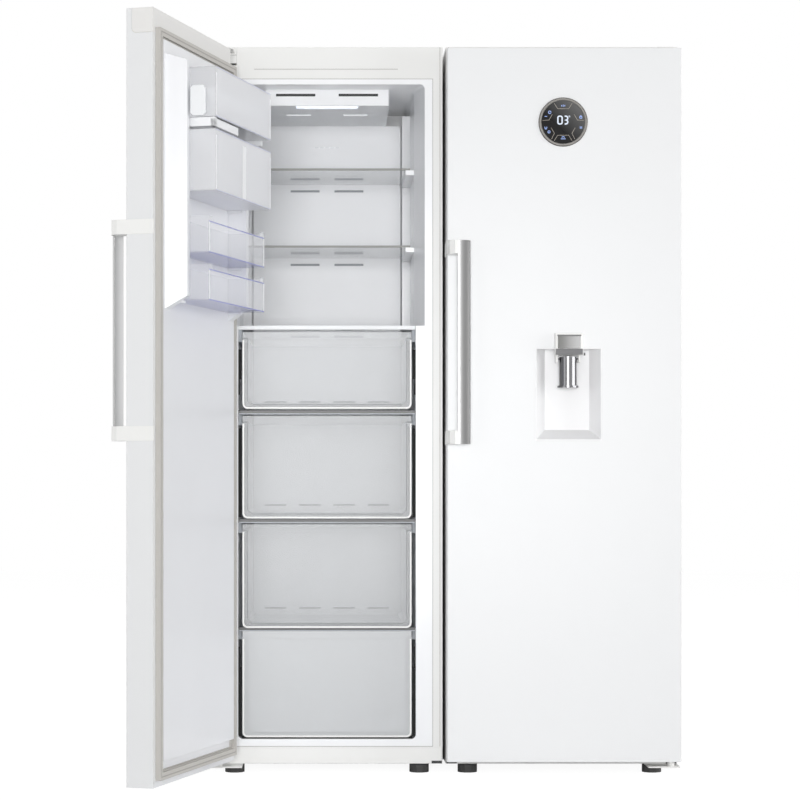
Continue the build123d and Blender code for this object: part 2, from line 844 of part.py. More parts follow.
def drawer(bottom, top, front, back):
    """Clear moulded drawer: rimmed front, tub, and the flanges it slides on."""
    half = drawer_half
    face = band(half, (front, front + drawer_front_thick), (bottom, top))
    face = round_low(face, Axis.Y, drawer_corner)
    pocket = band(
        half - drawer_rim, (front - past, front + drawer_pocket), (bottom + drawer_rim, top - drawer_grip)
    )
    pocket = slope_low(pocket, Axis.Y, drawer_corner - drawer_rim)
    tub_front = front + drawer_front_thick
    tub_half = half - drawer_tub_inset
    floor = bottom + drawer_floor_rise
    rim = top - drawer_top_drop
    tub = band(tub_half, (tub_front, back), (floor, rim))
    tub = slope_low(tub, Axis.Y, drawer_corner)
    inside = band(
        tub_half - drawer_wall, (tub_front - past, back - drawer_wall), (floor + drawer_wall, rim + past)
    )
    inside = slope_low(inside, Axis.Y, drawer_corner - drawer_wall)
    body = (tub - inside) + (face - pocket)
    for side in (-1, 1):
        body = body + sided(
            side, tub_half, half - flange_inset, (tub_front, back), (rim - drawer_flange, rim)
        )
    low = floor + drawer_slot_rise
    through = (back - drawer_wall - past, back + past)
    z = (low, low + drawer_slot_height)
    return cut_all(body, slots(drawer_slot_width, spread(drawer_slot_span, drawer_slots), through, z))


def flange_seat(top):
    """Height at which a drawer's flanges run."""
    return top - drawer_top_drop - drawer_flange - fit_gap


def runner_pair(top, back, carried):
    """Dark side runners: a ledge under a drawer's flanges and a web up to the plate above it."""
    high = flange_seat(top)
    low = high - runner_thick
    pieces = []
    for side in (-1, 1):
        ledge = sided(side, cavity_half - runner_ledge, cavity_half, (runner_front, back), (low, high))
        web = sided(side, cavity_half - runner_web, cavity_half, (runner_front, back), (low, carried))
        pieces.append(ledge + web)
    return pieces


# ---------------------------------------------------------------------------
# Doors, drawn closed: Y runs from the door's face (door_front) to its back
# ---------------------------------------------------------------------------

def form_foot(inset):
    """Where the raised form of a door's liner starts; a shrunk form runs past the liner's back."""
    return door_back - liner_wall - (past if inset else 0)


def dyke(side, inset, bottom, top):
    """Upright moulded wall on the door's liner, shrunk by an inset."""
    foot = form_foot(inset)
    face = dyke_face - inset
    outline = [
        (side * (dyke_inner_half + inset), foot),
        (side * (dyke_base_half - inset), foot),
        (side * (dyke_base_half - inset), plateau_face - inset),
        (side * (dyke_top_half - inset), face),
        (side * (dyke_inner_half + inset), face),
    ]
    profile = [
        (foot, bottom + inset),
        (plateau_face - inset, bottom + inset),
        (face, bottom + dyke_slant + inset),
        (face, top - dyke_top_slant - inset),
        (plateau_face - inset, top - inset),
        (foot, top - inset),
    ]
    return plan_prism(outline, (bottom, top)) & side_prism(profile, (-door_half, door_half))


def door_form(inset, bottom, top):
    """Raised part of a door's liner, with its two dykes, shrunk by an inset."""
    foot = form_foot(inset)
    half = plateau_half - inset
    form = band(
        half, (foot, plateau_face - inset),
        (door_bottom + plateau_bottom_inset + inset, door_top - plateau_top_inset - inset),
    )
    return form + dyke(-1, inset, bottom, top) + dyke(1, inset, bottom, top)


def door_skin(side):
    """Folded steel face with its side returns, open above and below and cut for the caps' tabs."""
    outer = band(door_half, (door_front, door_back), (door_bottom, door_top))
    inner = band(
        door_half - sheet, (door_front + sheet, door_back - sheet), (door_bottom - past, door_top + past)
    )
    window = band(
        door_half - door_flange, (door_back - sheet - past, door_back + past),
        (door_bottom - past, door_top + past),
    )
    skin = round_front(outer, Axis.Z, door_edge_radius) - inner - window
    return skin - cap_tab(side, margin=fit_gap) - hinge_notch(side)


def cap_tab(side, margin=0.0):
    """Part of the top cap that shows on the door's free edge and turns onto its back."""
    z = (door_top - cap_tab_height - margin, door_top + margin)
    reach = margin and past
    y_front = door_back - cap_tab_width - margin
    tab = sided(-side, door_half - sheet - reach, door_half + reach, (y_front, door_back + reach), z)
    corner = tab.edges().filter_by(Axis.X).sort_by(Axis.Z)[:2].sort_by(Axis.Y)[0]
    back = sided(
        -side, door_half - door_flange, door_half - sheet, (door_back - sheet - reach, door_back + reach), z
    )
    return fillet(corner, cap_tab_corner) + back


def hinge_notch(side, margin=0.0):
    """Corner that is left out of the door's back, as high as the cap's lip, grown by a margin."""
    return sided(
        side, door_half - notch_width - margin, door_half + past,
        (door_back - notch_depth - margin, door_back + past),
        (door_top - cap_lip - margin, door_top + past),
    )


def door_caps(side):
    """End caps of a door, each bored for its hinge pin; the top one wraps its edge and back."""
    y = (door_front + sheet, door_back - liner_wall)
    caps = []
    for low in (door_bottom, door_top - cap_thick):
        cap = band(door_half - sheet, y, (low, low + cap_thick))
        if low > door_bottom:
            lip = band(door_half - door_flange, (y[1], door_back), (door_top - cap_lip, door_top))
            walls = hinge_notch(side, cap_wall) & band(door_half - sheet, y, (door_bottom, door_top))
            cap = (cap + lip + cap_tab(side) + walls) - hinge_notch(side)
        bore = rod("Z", pin_radius + running_fit, low - past, low + cap_thick + past, side * pin_x, pin_y)
        caps.append(cap - bore)
    return join(*caps)


def door_liner(bottom, top, lugs):
    """Moulded inner door: flat rim, raised middle, dykes and the lugs that carry its bins."""
    rim_top = door_top - cap_lip - fit_gap
    rim = band(door_half - door_flange, (door_back - liner_wall, door_back), (door_bottom, rim_top))
    liner = rim + door_form(0, bottom, top) - door_form(liner_wall, bottom, top)
    for level in lugs:
        for side in (-1, 1):
            lug = sided(
                side, dyke_inner_half - lug_depth, dyke_inner_half,
                (plateau_face, plateau_face + lug_length), (level - fit_gap - lug_height, level - fit_gap),
            )
            liner = liner + lug
    return liner


def door_foam(bottom, top):
    """Foam core of a door."""
    core = band(
        door_half - sheet, (door_front + sheet, door_back - liner_wall),
        (door_bottom + cap_thick, door_top - cap_thick),
    )
    return core + door_form(liner_wall, bottom, top)


def ring(half, low, high, width, y):
    """Rectangular ring that lies in an upright plane."""
    outer = band(half, y, (low, high))
    inner = band(half - width, (y[0] - past, y[1] + past), (low + width, high - width))
    return outer - inner


def door_gasket():
    """Magnetic seal: a wide foot and the bead that meets the cabinet."""
    half = door_half - gasket_inset
    low = door_bottom + gasket_inset
    high = door_top - cap_lip - fit_gap
    foot = ring(half, low, high, gasket_width, (door_back, door_back + gasket_foot))
    inset = gasket_bead_inset
    bead = ring(
        half, low, high, gasket_width - inset, (door_back + gasket_foot, -gasket_seal_gap)
    )
    return foot + bead


# ---------------------------------------------------------------------------
# Handles
# ---------------------------------------------------------------------------

def handle_point(side, place):
    """Plan point from its distances to the door's free edge and face."""
    inward, outward = place
    return (-side * (door_half - inward), door_front - outward)


def handle_bar(side, low=handle_bottom, high=handle_bottom + handle_length):
    """Curved aluminium grip strip."""
    near, mid, far = (handle_point(side, place) for place in (bar_near, bar_mid, bar_far))
    back = [(x, y + handle_bar_thick) for x, y in (far, mid, near)]
    outline = [
        ThreePointArc(near, mid, far), Line(far, back[0]),
        ThreePointArc(*back), Line(back[2], near),
    ]
    return Pos(0, 0, low) * extrude(make_face(outline), high - low, dir=(0, 0, 1))


def handle_brackets(side):
    """End brackets that wrap the door's free edge and carry the grip."""
    lip = door_thick + bracket_lip
    outline = [
        (-bracket_wrap, -lip), (-bracket_wrap, bar_near[1] - 2 * bracket_corner),
        (bracket_corner / 2, bar_near[1] - bracket_corner / 2), (bar_near[0] - bracket_nose, bar_near[1]),
        bar_near, (bracket_reach, bracket_end), (bracket_reach, 0), (0, 0), (0, -door_thick),
        (bracket_lip_reach, -door_thick), (bracket_lip_reach, -lip),
    ]
    points = [handle_point(side, place) for place in outline]
    brackets = []
    for low in (handle_bottom, handle_bottom + handle_length - bracket_height):
        high = low + bracket_height
        bracket = plan_prism(points, (low, high))
        brackets.append(bracket - handle_bar(side, low - past, high + past))
    return join(*brackets)


# ---------------------------------------------------------------------------
# Freezer door: bins and ice maker
# ---------------------------------------------------------------------------

def bin_tub(bottom, height, depth, dip=0.0):
    """Clear door bin with its ends raised above its front edge."""
    y = (bin_back, plateau_face + depth)
    tub = band(bin_half, y, (bottom, bottom + height))
    inside = band(
        bin_half - bin_wall, (y[0] + bin_wall, y[1] - bin_wall), (bottom + bin_wall, bottom + height + past)
    )
    tub = tub - inside
    if dip:
        top = bottom + height
        dip_half = bin_half - bin_horn
        lowered = [
            (-dip_half - dip, top + past), (dip_half + dip, top + past),
            (dip_half, top - dip), (-dip_half, top - dip),
        ]
        face = Plane.XZ * make_face(Polyline(*lowered, close=True))
        tool = extrude(face, bin_wall + 2 * past, dir=(0, 1, 0))
        tub = tub - Pos(0, y[1] - bin_wall - past, 0) * tool
    return tub


def ice_bucket():
    """Deep clear bin for the ice, with stiffening ribs up its front and ends."""
    bucket = bin_tub(bucket_bottom, bucket_height, bucket_depth)
    face = plateau_face + bucket_depth
    for x in (-bin_half + bucket_rib, 0, bin_half - bucket_rib):
        rib = block(
            (x - bucket_rib / 2, x + bucket_rib / 2), (face - bin_wall - bucket_rib_thick, face - bin_wall),
            (bucket_bottom + bin_wall, bucket_bottom + bucket_height),
        )
        bucket = bucket + rib
    return bucket


def ice_maker_housing():
    """Clear housing round the ice tray, open below, bored for the tray's journals."""
    y = (bin_back, plateau_face + bucket_depth)
    z = (ice_box_bottom, ice_box_bottom + ice_box_height)
    outer = band(bin_half, y, z)
    inner = band(bin_half - bin_wall, (y[0] + bin_wall, y[1] - bin_wall), (z[0] - past, z[1] - bin_wall))
    bore = rod("X", journal_radius + running_fit, -bin_half - past, bin_half + past, tray_y, tray_z)
    return outer - inner - bore


def ice_tray():
    """Twist tray with two rows of cells, on a journal at each end."""
    half = bin_half - tray_end_gap
    y = (tray_y - tray_width / 2, tray_y + tray_width / 2)
    z = (tray_z - tray_depth / 2, tray_z + tray_depth / 2)
    tray = band(half, y, z)
    cell_x = (2 * half - tray_wall) / tray_columns
    cell_y = (tray_width - tray_wall) / tray_rows
    for column in range(tray_columns):
        for row in range(tray_rows):
            x0 = -half + tray_wall + column * cell_x
            y0 = y[0] + tray_wall + row * cell_y
            cell = block(
                (x0, x0 + cell_x - tray_wall), (y0, y0 + cell_y - tray_wall), (z[0] + tray_wall, z[1] + past)
            )
            tray = tray - cell
    tray = tray + rod("X", journal_radius, -bin_half + fit_gap, -half, tray_y, tray_z)
    return tray + rod("X", journal_radius, half, bin_half + lever_gap, tray_y, tray_z)


def ice_tray_lever():
    """Flat lever that twists the tray, at the housing's free end."""
    x = (bin_half + lever_gap, bin_half + lever_gap + lever_thick)
    y = (tray_y - lever_half, tray_y + lever_half)
    lever = block(x, y, (tray_z - lever_drop, tray_z + lever_head))
    return chamfer(lever.edges().filter_by(Axis.X), lever_corner)


# ---------------------------------------------------------------------------
# Fridge door: control panel, dispenser, tank
# ---------------------------------------------------------------------------

def panel_disc(sides, radius, start, end):
    """Many-sided disc on the control panel's centre line."""
    plane = Plane(origin=(panel_shift, start, panel_level), z_dir=(0, 1, 0))
    return plane * extrude(RegularPolygon(radius, sides), end - start)


def control_bezel():
    """Ring of the control panel with the cup behind it that holds the electronics."""
    cup_radius = panel_glass_radius + panel_cup_wall
    flange = panel_disc(panel_sides, panel_radius, door_front - panel_proud, door_front)
    flange = chamfer(flange.edges().group_by(Axis.Y)[0], panel_proud / 2)
    cup = panel_disc(cup_sides, cup_radius, door_front, door_front + panel_cup_depth)
    bore_y = (door_front - panel_proud - past, door_front + panel_cup_depth - panel_cup_wall)
    bore = panel_disc(panel_sides, panel_glass_radius, *bore_y)
    return flange + cup - bore


def control_glass():
    """Round dark glass with its display module behind it."""
    start = door_front - panel_proud + glass_recess
    disc = panel_disc(panel_sides, panel_glass_radius - fit_gap, start, start + glass_disc)
    back = door_front + panel_cup_depth - panel_cup_wall
    module = panel_disc(cup_sides, module_radius, start + glass_disc, back)
    return disc + module


def recess_form(wall):
    """Dispenser niche with slanted sides and floor, shrunk by a wall."""
    half = recess_width / 2 - wall
    low, high = recess_bottom + wall, recess_top - wall
    start = door_front - (past if wall else 0)
    back = door_front + recess_depth - wall
    plan = [
        (-half, start), (half, start), (half - recess_bevel, back), (-half + recess_bevel, back),
    ]
    profile = [(start, low), (back, low + recess_bevel), (back, high), (start, high)]
    niche = plan_prism(plan, (low, high)) & side_prism(profile, (-half, half))
    return Pos(recess_shift, 0, 0) * niche


def outlet_hole(radius, start, end):
    """Cylinder on the line of the tank's outlet."""
    return rod("Y", radius, start, end, recess_shift, outlet_level)


def dispenser_head():
    """Outlet head on the door's face, with the arm and cheeks that carry the lever."""
    x = recess_shift
    half = head_width / 2
    block_y = (door_front - head_proud, door_front)
    head = block((x - half, x + half), block_y, (head_bottom, head_top))
    head = round_front(head, Axis.Z, head_corner)
    plate_half = head_plate_width / 2
    plate_y = (block_y[0] - head_plate_proud, block_y[0])
    plate_top = head_top - head_plate_drop
    plate = block((x - plate_half, x + plate_half), plate_y, (plate_top - head_plate_height, plate_top))
    arm_half = head_arm_width / 2
    arm_z = (head_bottom, recess_top - recess_wall - fit_gap)
    arm_back = door_front + recess_depth - recess_wall
    arm = block((x - arm_half, x + arm_half), (door_front, arm_back - fit_gap), arm_z)
    head = head + plate + arm
    axis_y = door_front + lever_axis_inset
    for side in (-1, 1):
        cheek_x = sorted((x + side * (arm_half - cheek_thick), x + side * arm_half))
        cheek_z = (lever_axis_level - cheek_depth / 2, head_bottom)
        cheek = block(cheek_x, (axis_y - cheek_depth / 2, axis_y + cheek_depth / 2), cheek_z)
        head = head + cheek
    bore_radius = lever_pin_radius + running_fit
    bore = rod("X", bore_radius, x - arm_half - past, x + arm_half + past, axis_y, lever_axis_level)
    return head - bore


def dispenser_lever():
    """Half-round push lever on its pin, with a wider rim at its foot."""
    x = recess_shift
    axis_y = door_front + lever_axis_inset
    top = lever_axis_level + lever_rise
    tube = knob(lever_sides, lever_radius, lever_bottom, top, x, axis_y)
    tube = tube + knob(lever_sides, lever_rim_radius, lever_rim_bottom, lever_bottom, x, axis_y)
    hollow = lever_radius - lever_shell
    bore = knob(lever_sides, hollow, lever_rim_bottom - past, top - lever_cap, x, axis_y)
    back = block(
        (x - 2 * lever_radius, x + 2 * lever_radius), (axis_y, axis_y + 2 * lever_radius),
        (lever_rim_bottom - past, top + past),
    )
    shell = tube - bore - back
    web_half = lever_radius - lever_web_inset
    web = block(
        (x - web_half, x + web_half), (axis_y - lever_web_front, axis_y + lever_web_back),
        (lever_axis_level - lever_web_back, top),
    )
    reach = head_arm_width / 2 - lever_pin_play
    pin = rod("X", lever_pin_radius, x - reach, x + reach, axis_y, lever_axis_level)
    return shell + web + pin


def water_tank():
    """Clear tank behind the door's liner face, its lid, and the outlet through the door."""
    half = tank_width / 2
    y = (bin_back, plateau_face + tank_depth)
    rim = tank_bottom + tank_height - tank_lid
    wall = bin_wall
    tank = band(half, y, (tank_bottom, rim))
    inside = band(half - wall, (y[0] + wall, y[1] - wall), (tank_bottom + wall, rim + past))
    outlet = outlet_hole(outlet_radius, door_front, y[0] + wall)
    lid = band(half + lid_overhang, (y[0], y[1] + lid_overhang), (rim, tank_bottom + tank_height))
    filler_y = (sum(y) / 2 - filler_depth / 2, sum(y) / 2 + filler_depth / 2)
    filler = band(filler_width / 2, filler_y, (rim - past, rim + tank_lid + past))
    return join(tank - inside + outlet, lid - filler)


# ---------------------------------------------------------------------------
# Assembly
# ---------------------------------------------------------------------------

to_fridge = Pos(pair_pitch, 0, 0)


def freezer_cabinet():
    """Everything that stands still in and on the freezer."""
    nodes = {}
    ribs = [(level, shelf_front) for level in shelf_levels]
    nodes["freezer_shell"] = cabinet_shell(FREEZER)
    nodes["freezer_insulation"] = cabinet_insulation(FREEZER, drawer_zone_top)
    liner = cabinet_liner(drawer_zone_top, ribs, shelf_back)
    for piece in columns(drawer_shelf_level + column_gap, shelf_levels):
        liner = liner + piece
    nodes["freezer_liner"] = liner
    nodes["freezer_rear_panel"] = rear_panel()
    nodes["freezer_duct_cover"] = duct_cover()
    nodes["freezer_evaporator"] = evaporator()
    nodes["freezer_fan_housing"] = fan_housing()
    nodes["freezer_lamp_lens"] = lamp_lens()
    nodes["freezer_fan_motor"] = fan_motor()
    nodes["freezer_hinges"] = hinges(FREEZER)
    shelves = [notched_glass(level) for level in shelf_levels]
    over_drawers = drawer_zone_front + divider_trim_depth
    low = drawer_shelf_level
    shelves.append(band(cavity_half - fit_gap, (over_drawers, shelf_back), (low, low + glass)))
    nodes["freezer_glass_shelves"] = join(*shelves)
    nodes["freezer_shelf_strips"] = join(*[shelf_edge(level, shelf_front) for level in shelf_levels])
    nodes["drawer_dividers"] = join(*[
        band(cavity_half - fit_gap, (divider_front, drawer_back), (level, level + glass))
        for level in divider_levels
    ])
    trims = [divider_trim(level, divider_front) for level in divider_levels]
    trims.append(divider_trim(drawer_shelf_level, over_drawers))
    nodes["divider_trims"] = join(*trims)
    carried = (drawer_shelf_level,) + divider_levels
    runners = []
    for (bottom, top), level, back in zip(drawer_levels, carried, drawer_backs):
        runners += runner_pair(top, back, level)
    nodes["drawer_runners"] = join(*runners)
    return nodes


def fridge_cabinet():
    """Everything that stands still in and on the fridge."""
    nodes = {}
    crisper_ribs = [(flange_seat(top), crisper_front + crisper_rib_setback) for bottom, top in crisper_levels]
    ribs = [(level, fridge_shelf_front) for level in fridge_shelf_levels] + crisper_ribs
    nodes["fridge_shell"] = cabinet_shell(FRIDGE)
    nodes["fridge_insulation"] = cabinet_insulation(FRIDGE, cavity_floor)
    nodes["fridge_liner"] = cabinet_liner(cavity_floor, ribs, fridge_shelf_back)
    nodes["fridge_rear_panel"] = rear_panel()
    nodes["fridge_hinges"] = hinges(FRIDGE)
    shelves = []
    for level in fridge_shelf_levels:
        shelves.append(shelf_glass(level, fridge_shelf_front, fridge_shelf_back))
        shelves.append(shelf_edge(level, fridge_shelf_front))
    nodes["fridge_shelves"] = join(*shelves)
    nodes["fridge_crispers"] = join(*[
        drawer(bottom, top, crisper_front, crisper_back) for bottom, top in crisper_levels
    ])
    return {name: to_fridge * shape for name, shape in nodes.items()}


def both_cabinets():
    """Pieces that the two cabinets have alike, and what joins the pair."""
    nodes = {}
    nodes["plinths"] = join(plinth(), to_fridge * plinth())
    nodes["compressors"] = join(compressor(), to_fridge * compressor())
    nodes["power_inlets"] = join(power_inlet(), to_fridge * power_inlet())
    nodes["hinge_covers"] = join(hinge_cover(FREEZER), to_fridge * hinge_cover(FRIDGE))
    front = feet(foot_setback)
    rear = feet(cabinet_depth - foot_setback)
    nodes["front_feet"] = join(*front, *[to_fridge * foot for foot in front])
    nodes["rear_feet"] = join(*rear, *[to_fridge * foot for foot in rear])
    width, depth, thick = joining_plate
    seam = cabinet_half + cabinet_gap / 2
    x = (seam - width / 2, seam + width / 2)
    top = cabinet_top - joining_setback
    rear_plate = block(x, (cabinet_depth, cabinet_depth + thick), (top - depth, top))
    front = joining_setback + foot_setback
    low_plate = block(x, (front, front + depth), (cabinet_bottom - thick, cabinet_bottom))
    nodes["joining_plates"] = join(rear_plate, low_plate)
    return nodes


def freezer_door():
    """Freezer door with all it carries, drawn closed."""
    nodes = {}
    lugs = [bottom for bottom, height in bin_levels] + [bucket_bottom, ice_box_bottom]
    limits = (freezer_dyke_bottom, dyke_top)
    nodes["freezer_door_skin"] = door_skin(FREEZER)
    nodes["freezer_door_foam"] = door_foam(*limits) - hinge_notch(FREEZER, cap_wall)
    nodes["freezer_door_liner"] = door_liner(*limits, lugs)
    nodes["freezer_door_caps"] = door_caps(FREEZER)
    nodes["freezer_door_gasket"] = door_gasket()
    nodes["freezer_handle_bar"] = handle_bar(FREEZER)
    nodes["freezer_handle_brackets"] = handle_brackets(FREEZER)
    nodes["freezer_door_bins"] = join(*[
        bin_tub(bottom, height, bin_depth, bin_dip) for bottom, height in bin_levels
    ])
    nodes["ice_bucket"] = ice_bucket()
    nodes["ice_maker_housing"] = ice_maker_housing()
    nodes["ice_tray"] = ice_tray()
    nodes["ice_tray_lever"] = ice_tray_lever()
    return nodes


def fridge_door():
    """Fridge door with all it carries."""
    nodes = {}
    lugs = [bottom for bottom, height in fridge_bin_levels] + [tank_bottom]
    limits = (fridge_dyke_bottom, dyke_top)
    cup_radius = panel_glass_radius + panel_cup_wall
    cup_hole = panel_disc(cup_sides, cup_radius, door_front - past, door_front + panel_cup_depth)
    outlet = outlet_hole(outlet_radius + fit_gap, door_front - past, plateau_face + past)
    niche = recess_form(0)
    nodes["fridge_door_skin"] = door_skin(FRIDGE) - cup_hole - niche - outlet
    foam = door_foam(*limits) - hinge_notch(FRIDGE, cap_wall)
    nodes["fridge_door_foam"] = foam - cup_hole - niche - outlet
    nodes["fridge_door_liner"] = door_liner(*limits, lugs) - outlet
    nodes["fridge_door_caps"] = door_caps(FRIDGE)
    nodes["fridge_door_gasket"] = door_gasket()
    nodes["fridge_handle_bar"] = handle_bar(FRIDGE)
    nodes["fridge_handle_brackets"] = handle_brackets(FRIDGE)
    nodes["control_bezel"] = control_bezel()
    nodes["control_glass"] = control_glass()
    nodes["dispenser_recess"] = niche - recess_form(recess_wall) - outlet
    nodes["dispenser_head"] = dispenser_head()
    nodes["dispenser_lever"] = dispenser_lever()
    nodes["water_tank"] = water_tank()
    nodes["fridge_door_bins"] = join(*[
        bin_tub(bottom, height, bin_depth, bin_dip) for bottom, height in fridge_bin_levels
    ])
    return {name: to_fridge * shape for name, shape in nodes.items()}


def build():
    """Every node in its place, with the freezer's door standing open."""
    nodes = {}
    nodes.update(freezer_cabinet())
    nodes.update(fridge_cabinet())
    nodes.update(both_cabinets())
    nodes["freezer_fan_rotor"] = fan_rotor()
    for name, (bottom, top), back in zip(drawer_names, drawer_levels, drawer_backs):
        nodes[name] = drawer(bottom, top, drawer_front_setback, back)
    swing = Pos(-pin_x, pin_y, 0) * Rot(0, 0, -freezer_door_angle) * Pos(pin_x, -pin_y, 0)
    nodes.update({name: swing * shape for name, shape in freezer_door().items()})
    nodes.update(fridge_door())

    outline = join(*nodes.values()).bounding_box()
    to_origin = Pos(-outline.center().X, -outline.center().Y, 0)
    return {name: to_origin * shape for name, shape in nodes.items()}, to_origin.position


os.makedirs("parts", exist_ok=True)
parts, shift = build()
for name, shape in parts.items():
    export_step(shape, f"parts/{name}.step")
print(len(parts), "nodes; the origin moved by", round(shift.X, 3), round(shift.Y, 3))
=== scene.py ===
import json
import math

import bmesh
import bpy
from mathutils import Matrix, Vector


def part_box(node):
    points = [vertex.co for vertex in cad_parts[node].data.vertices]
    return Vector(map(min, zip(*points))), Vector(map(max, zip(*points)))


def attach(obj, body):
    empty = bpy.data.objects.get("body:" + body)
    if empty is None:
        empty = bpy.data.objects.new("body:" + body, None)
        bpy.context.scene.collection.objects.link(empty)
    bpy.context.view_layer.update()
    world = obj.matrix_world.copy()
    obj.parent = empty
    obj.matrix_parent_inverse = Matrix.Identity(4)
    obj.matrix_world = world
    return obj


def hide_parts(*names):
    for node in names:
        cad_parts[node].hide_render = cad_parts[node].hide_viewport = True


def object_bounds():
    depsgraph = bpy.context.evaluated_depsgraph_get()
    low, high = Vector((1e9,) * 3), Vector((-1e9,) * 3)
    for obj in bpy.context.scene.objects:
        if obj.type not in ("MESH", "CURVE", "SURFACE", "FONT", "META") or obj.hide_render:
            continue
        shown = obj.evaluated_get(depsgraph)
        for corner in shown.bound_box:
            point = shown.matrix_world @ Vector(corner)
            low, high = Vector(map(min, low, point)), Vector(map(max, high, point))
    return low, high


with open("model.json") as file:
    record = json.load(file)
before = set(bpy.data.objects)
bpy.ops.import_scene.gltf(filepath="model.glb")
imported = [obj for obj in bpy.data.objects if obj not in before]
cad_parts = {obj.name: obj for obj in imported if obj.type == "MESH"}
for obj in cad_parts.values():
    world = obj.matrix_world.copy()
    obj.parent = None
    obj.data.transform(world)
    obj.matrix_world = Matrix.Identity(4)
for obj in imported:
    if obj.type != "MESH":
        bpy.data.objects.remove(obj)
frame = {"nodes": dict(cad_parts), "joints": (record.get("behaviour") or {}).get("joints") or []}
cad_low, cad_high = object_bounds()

bl_info = {
    "name": "Side-by-side refrigerator finishes",
    "version": (1, 0, 0),
    "blender": (4, 5, 0),
    "location": "View3D > Sidebar > Refrigerator",
    "description": "Dresses a freezer and fridge pair: steel, plastics, glass, display and dispenser",
    "category": "Object",
}

MM = 0.001
FLOOR_HALF = 14.0      # half the side of the paper floor, in metres
FLOOR_GLOW = 1.14      # strength of the floor's own light, for the camera alone
FLOOR_SHARE = 0.8      # share of that light in what the camera sees
cabinet_low, cabinet_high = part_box("freezer_shell")
fridge_low, fridge_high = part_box("fridge_shell")


# ---------------------------------------------------------------------------
# Colours, nodes and small mesh tools
# ---------------------------------------------------------------------------

def linear(code):
    """Linear RGBA of an sRGB hex code."""
    channels = [int(code[i:i + 2], 16) / 255 for i in (0, 2, 4)]
    return tuple(c / 12.92 if c <= 0.04045 else ((c + 0.055) / 1.055) ** 2.4 for c in channels) + (1.0,)


def add(tree, kind, sockets=None, **settings):
    """Adds a node, sets its properties, and fills its inputs with values or links."""
    made = tree.nodes.new(kind)
    for name, value in settings.items():
        setattr(made, name, value)
    for key, value in (sockets or {}).items():
        if isinstance(value, bpy.types.NodeSocket):
            tree.links.new(value, made.inputs[key])
        else:
            made.inputs[key].default_value = value
    return made


def new_material(name):
    """Empty node material, its tree, and coordinates in metres on the piece."""
    material = bpy.data.materials.new(name)
    material.use_nodes = True
    tree = material.node_tree
    tree.nodes.clear()
    return material, tree, add(tree, "ShaderNodeTexCoord").outputs


def per_mm(grain_mm):
    """Scale at which a pattern's features are about one grain across."""
    return 1 / (grain_mm * MM)


def opaque(colour, factor=1.0):
    """RGBA of a colour, made darker or paler by a factor."""
    return (*(c * factor for c in colour[:3]), 1.0)


def finished(material, tree, base, field, roughness, relief_mm, soften_mm=0.0, **own):
    """Closes a material: base is its share and two tones, and a field gives gloss and relief.

    Two tones that are the same go on the shader's own socket as one colour. soften_mm rounds the
    edges that light catches, and own holds the shader's own values.
    """
    share, first, second = base
    colour = first
    if first != second:
        tones = {"Factor": share, "A": first, "B": second}
        colour = add(tree, "ShaderNodeMix", tones, data_type="RGBA").outputs["Result"]
    gloss = add(tree, "ShaderNodeMapRange", {"Value": field, "To Min": roughness[0], "To Max": roughness[1]})
    relief = {"Height": field, "Distance": relief_mm * MM, "Strength": 1.0}
    if soften_mm:
        edges = add(tree, "ShaderNodeBevel", {"Radius": soften_mm * MM}, samples=4)
        relief["Normal"] = edges.outputs["Normal"]
    shader = add(tree, "ShaderNodeBsdfPrincipled", {
        "Base Color": colour,
        "Roughness": gloss.outputs["Result"],
        "Normal": add(tree, "ShaderNodeBump", relief).outputs["Normal"],
        **{key.replace("_", " "): value for key, value in own.items()},
    })
    add(tree, "ShaderNodeOutputMaterial", {"Surface": shader.outputs["BSDF"]})
    return material


def mesh_object(name, shape, material):
    """New object in the scene from a mesh that was built."""
    mesh = bpy.data.meshes.new(name)
    shape.to_mesh(mesh)
    shape.free()
    made = bpy.data.objects.new(name, mesh)
    mesh.materials.append(material)
    bpy.context.scene.collection.objects.link(made)
    return made


def ribbons(name, lines, width, thick, placed, material):
    """Flat ribbons along open or closed lines in a plane; placed maps (u, v, depth) to the row frame."""
    shape = bmesh.new()
    for line, closed in lines:
        points = [Vector(p) for p in line]
        count = len(points)
        rows = []
        for i, point in enumerate(points):
            before = points[i - 1] if closed or i else None
            after = points[(i + 1) % count] if closed or i < count - 1 else None
            into = (point - before).normalized() if before is not None else (after - point).normalized()
            out = (after - point).normalized() if after is not None else into
            normal_in = Vector((-into.y, into.x))
            normal_out = Vector((-out.y, out.x))
            mitre = (normal_in + normal_out).normalized()
            reach = width / 2 / max(0.4, mitre.dot(normal_out))
            rows.append([
                shape.verts.new(placed(point + mitre * reach * side, depth))
                for side, depth in ((-1, 0.0), (1, 0.0), (1, thick), (-1, thick))
            ])
        steps = count if closed else count - 1
        for i in range(steps):
            a, b = rows[i], rows[(i + 1) % count]
            for k in range(4):
                shape.faces.new((a[k], a[(k + 1) % 4], b[(k + 1) % 4], b[k]))
        if not closed:
            shape.faces.new(rows[0][::-1])
            shape.faces.new(rows[-1])
    bmesh.ops.recalc_face_normals(shape, faces=shape.faces)
    return mesh_object(name, shape, material)


def arc(centre, radius, start, end, steps):
    """Points on an arc between two angles in degrees."""
    turns = [math.radians(start + (end - start) * i / steps) for i in range(steps + 1)]
    return [(centre[0] + radius * math.cos(t), centre[1] + radius * math.sin(t)) for t in turns]


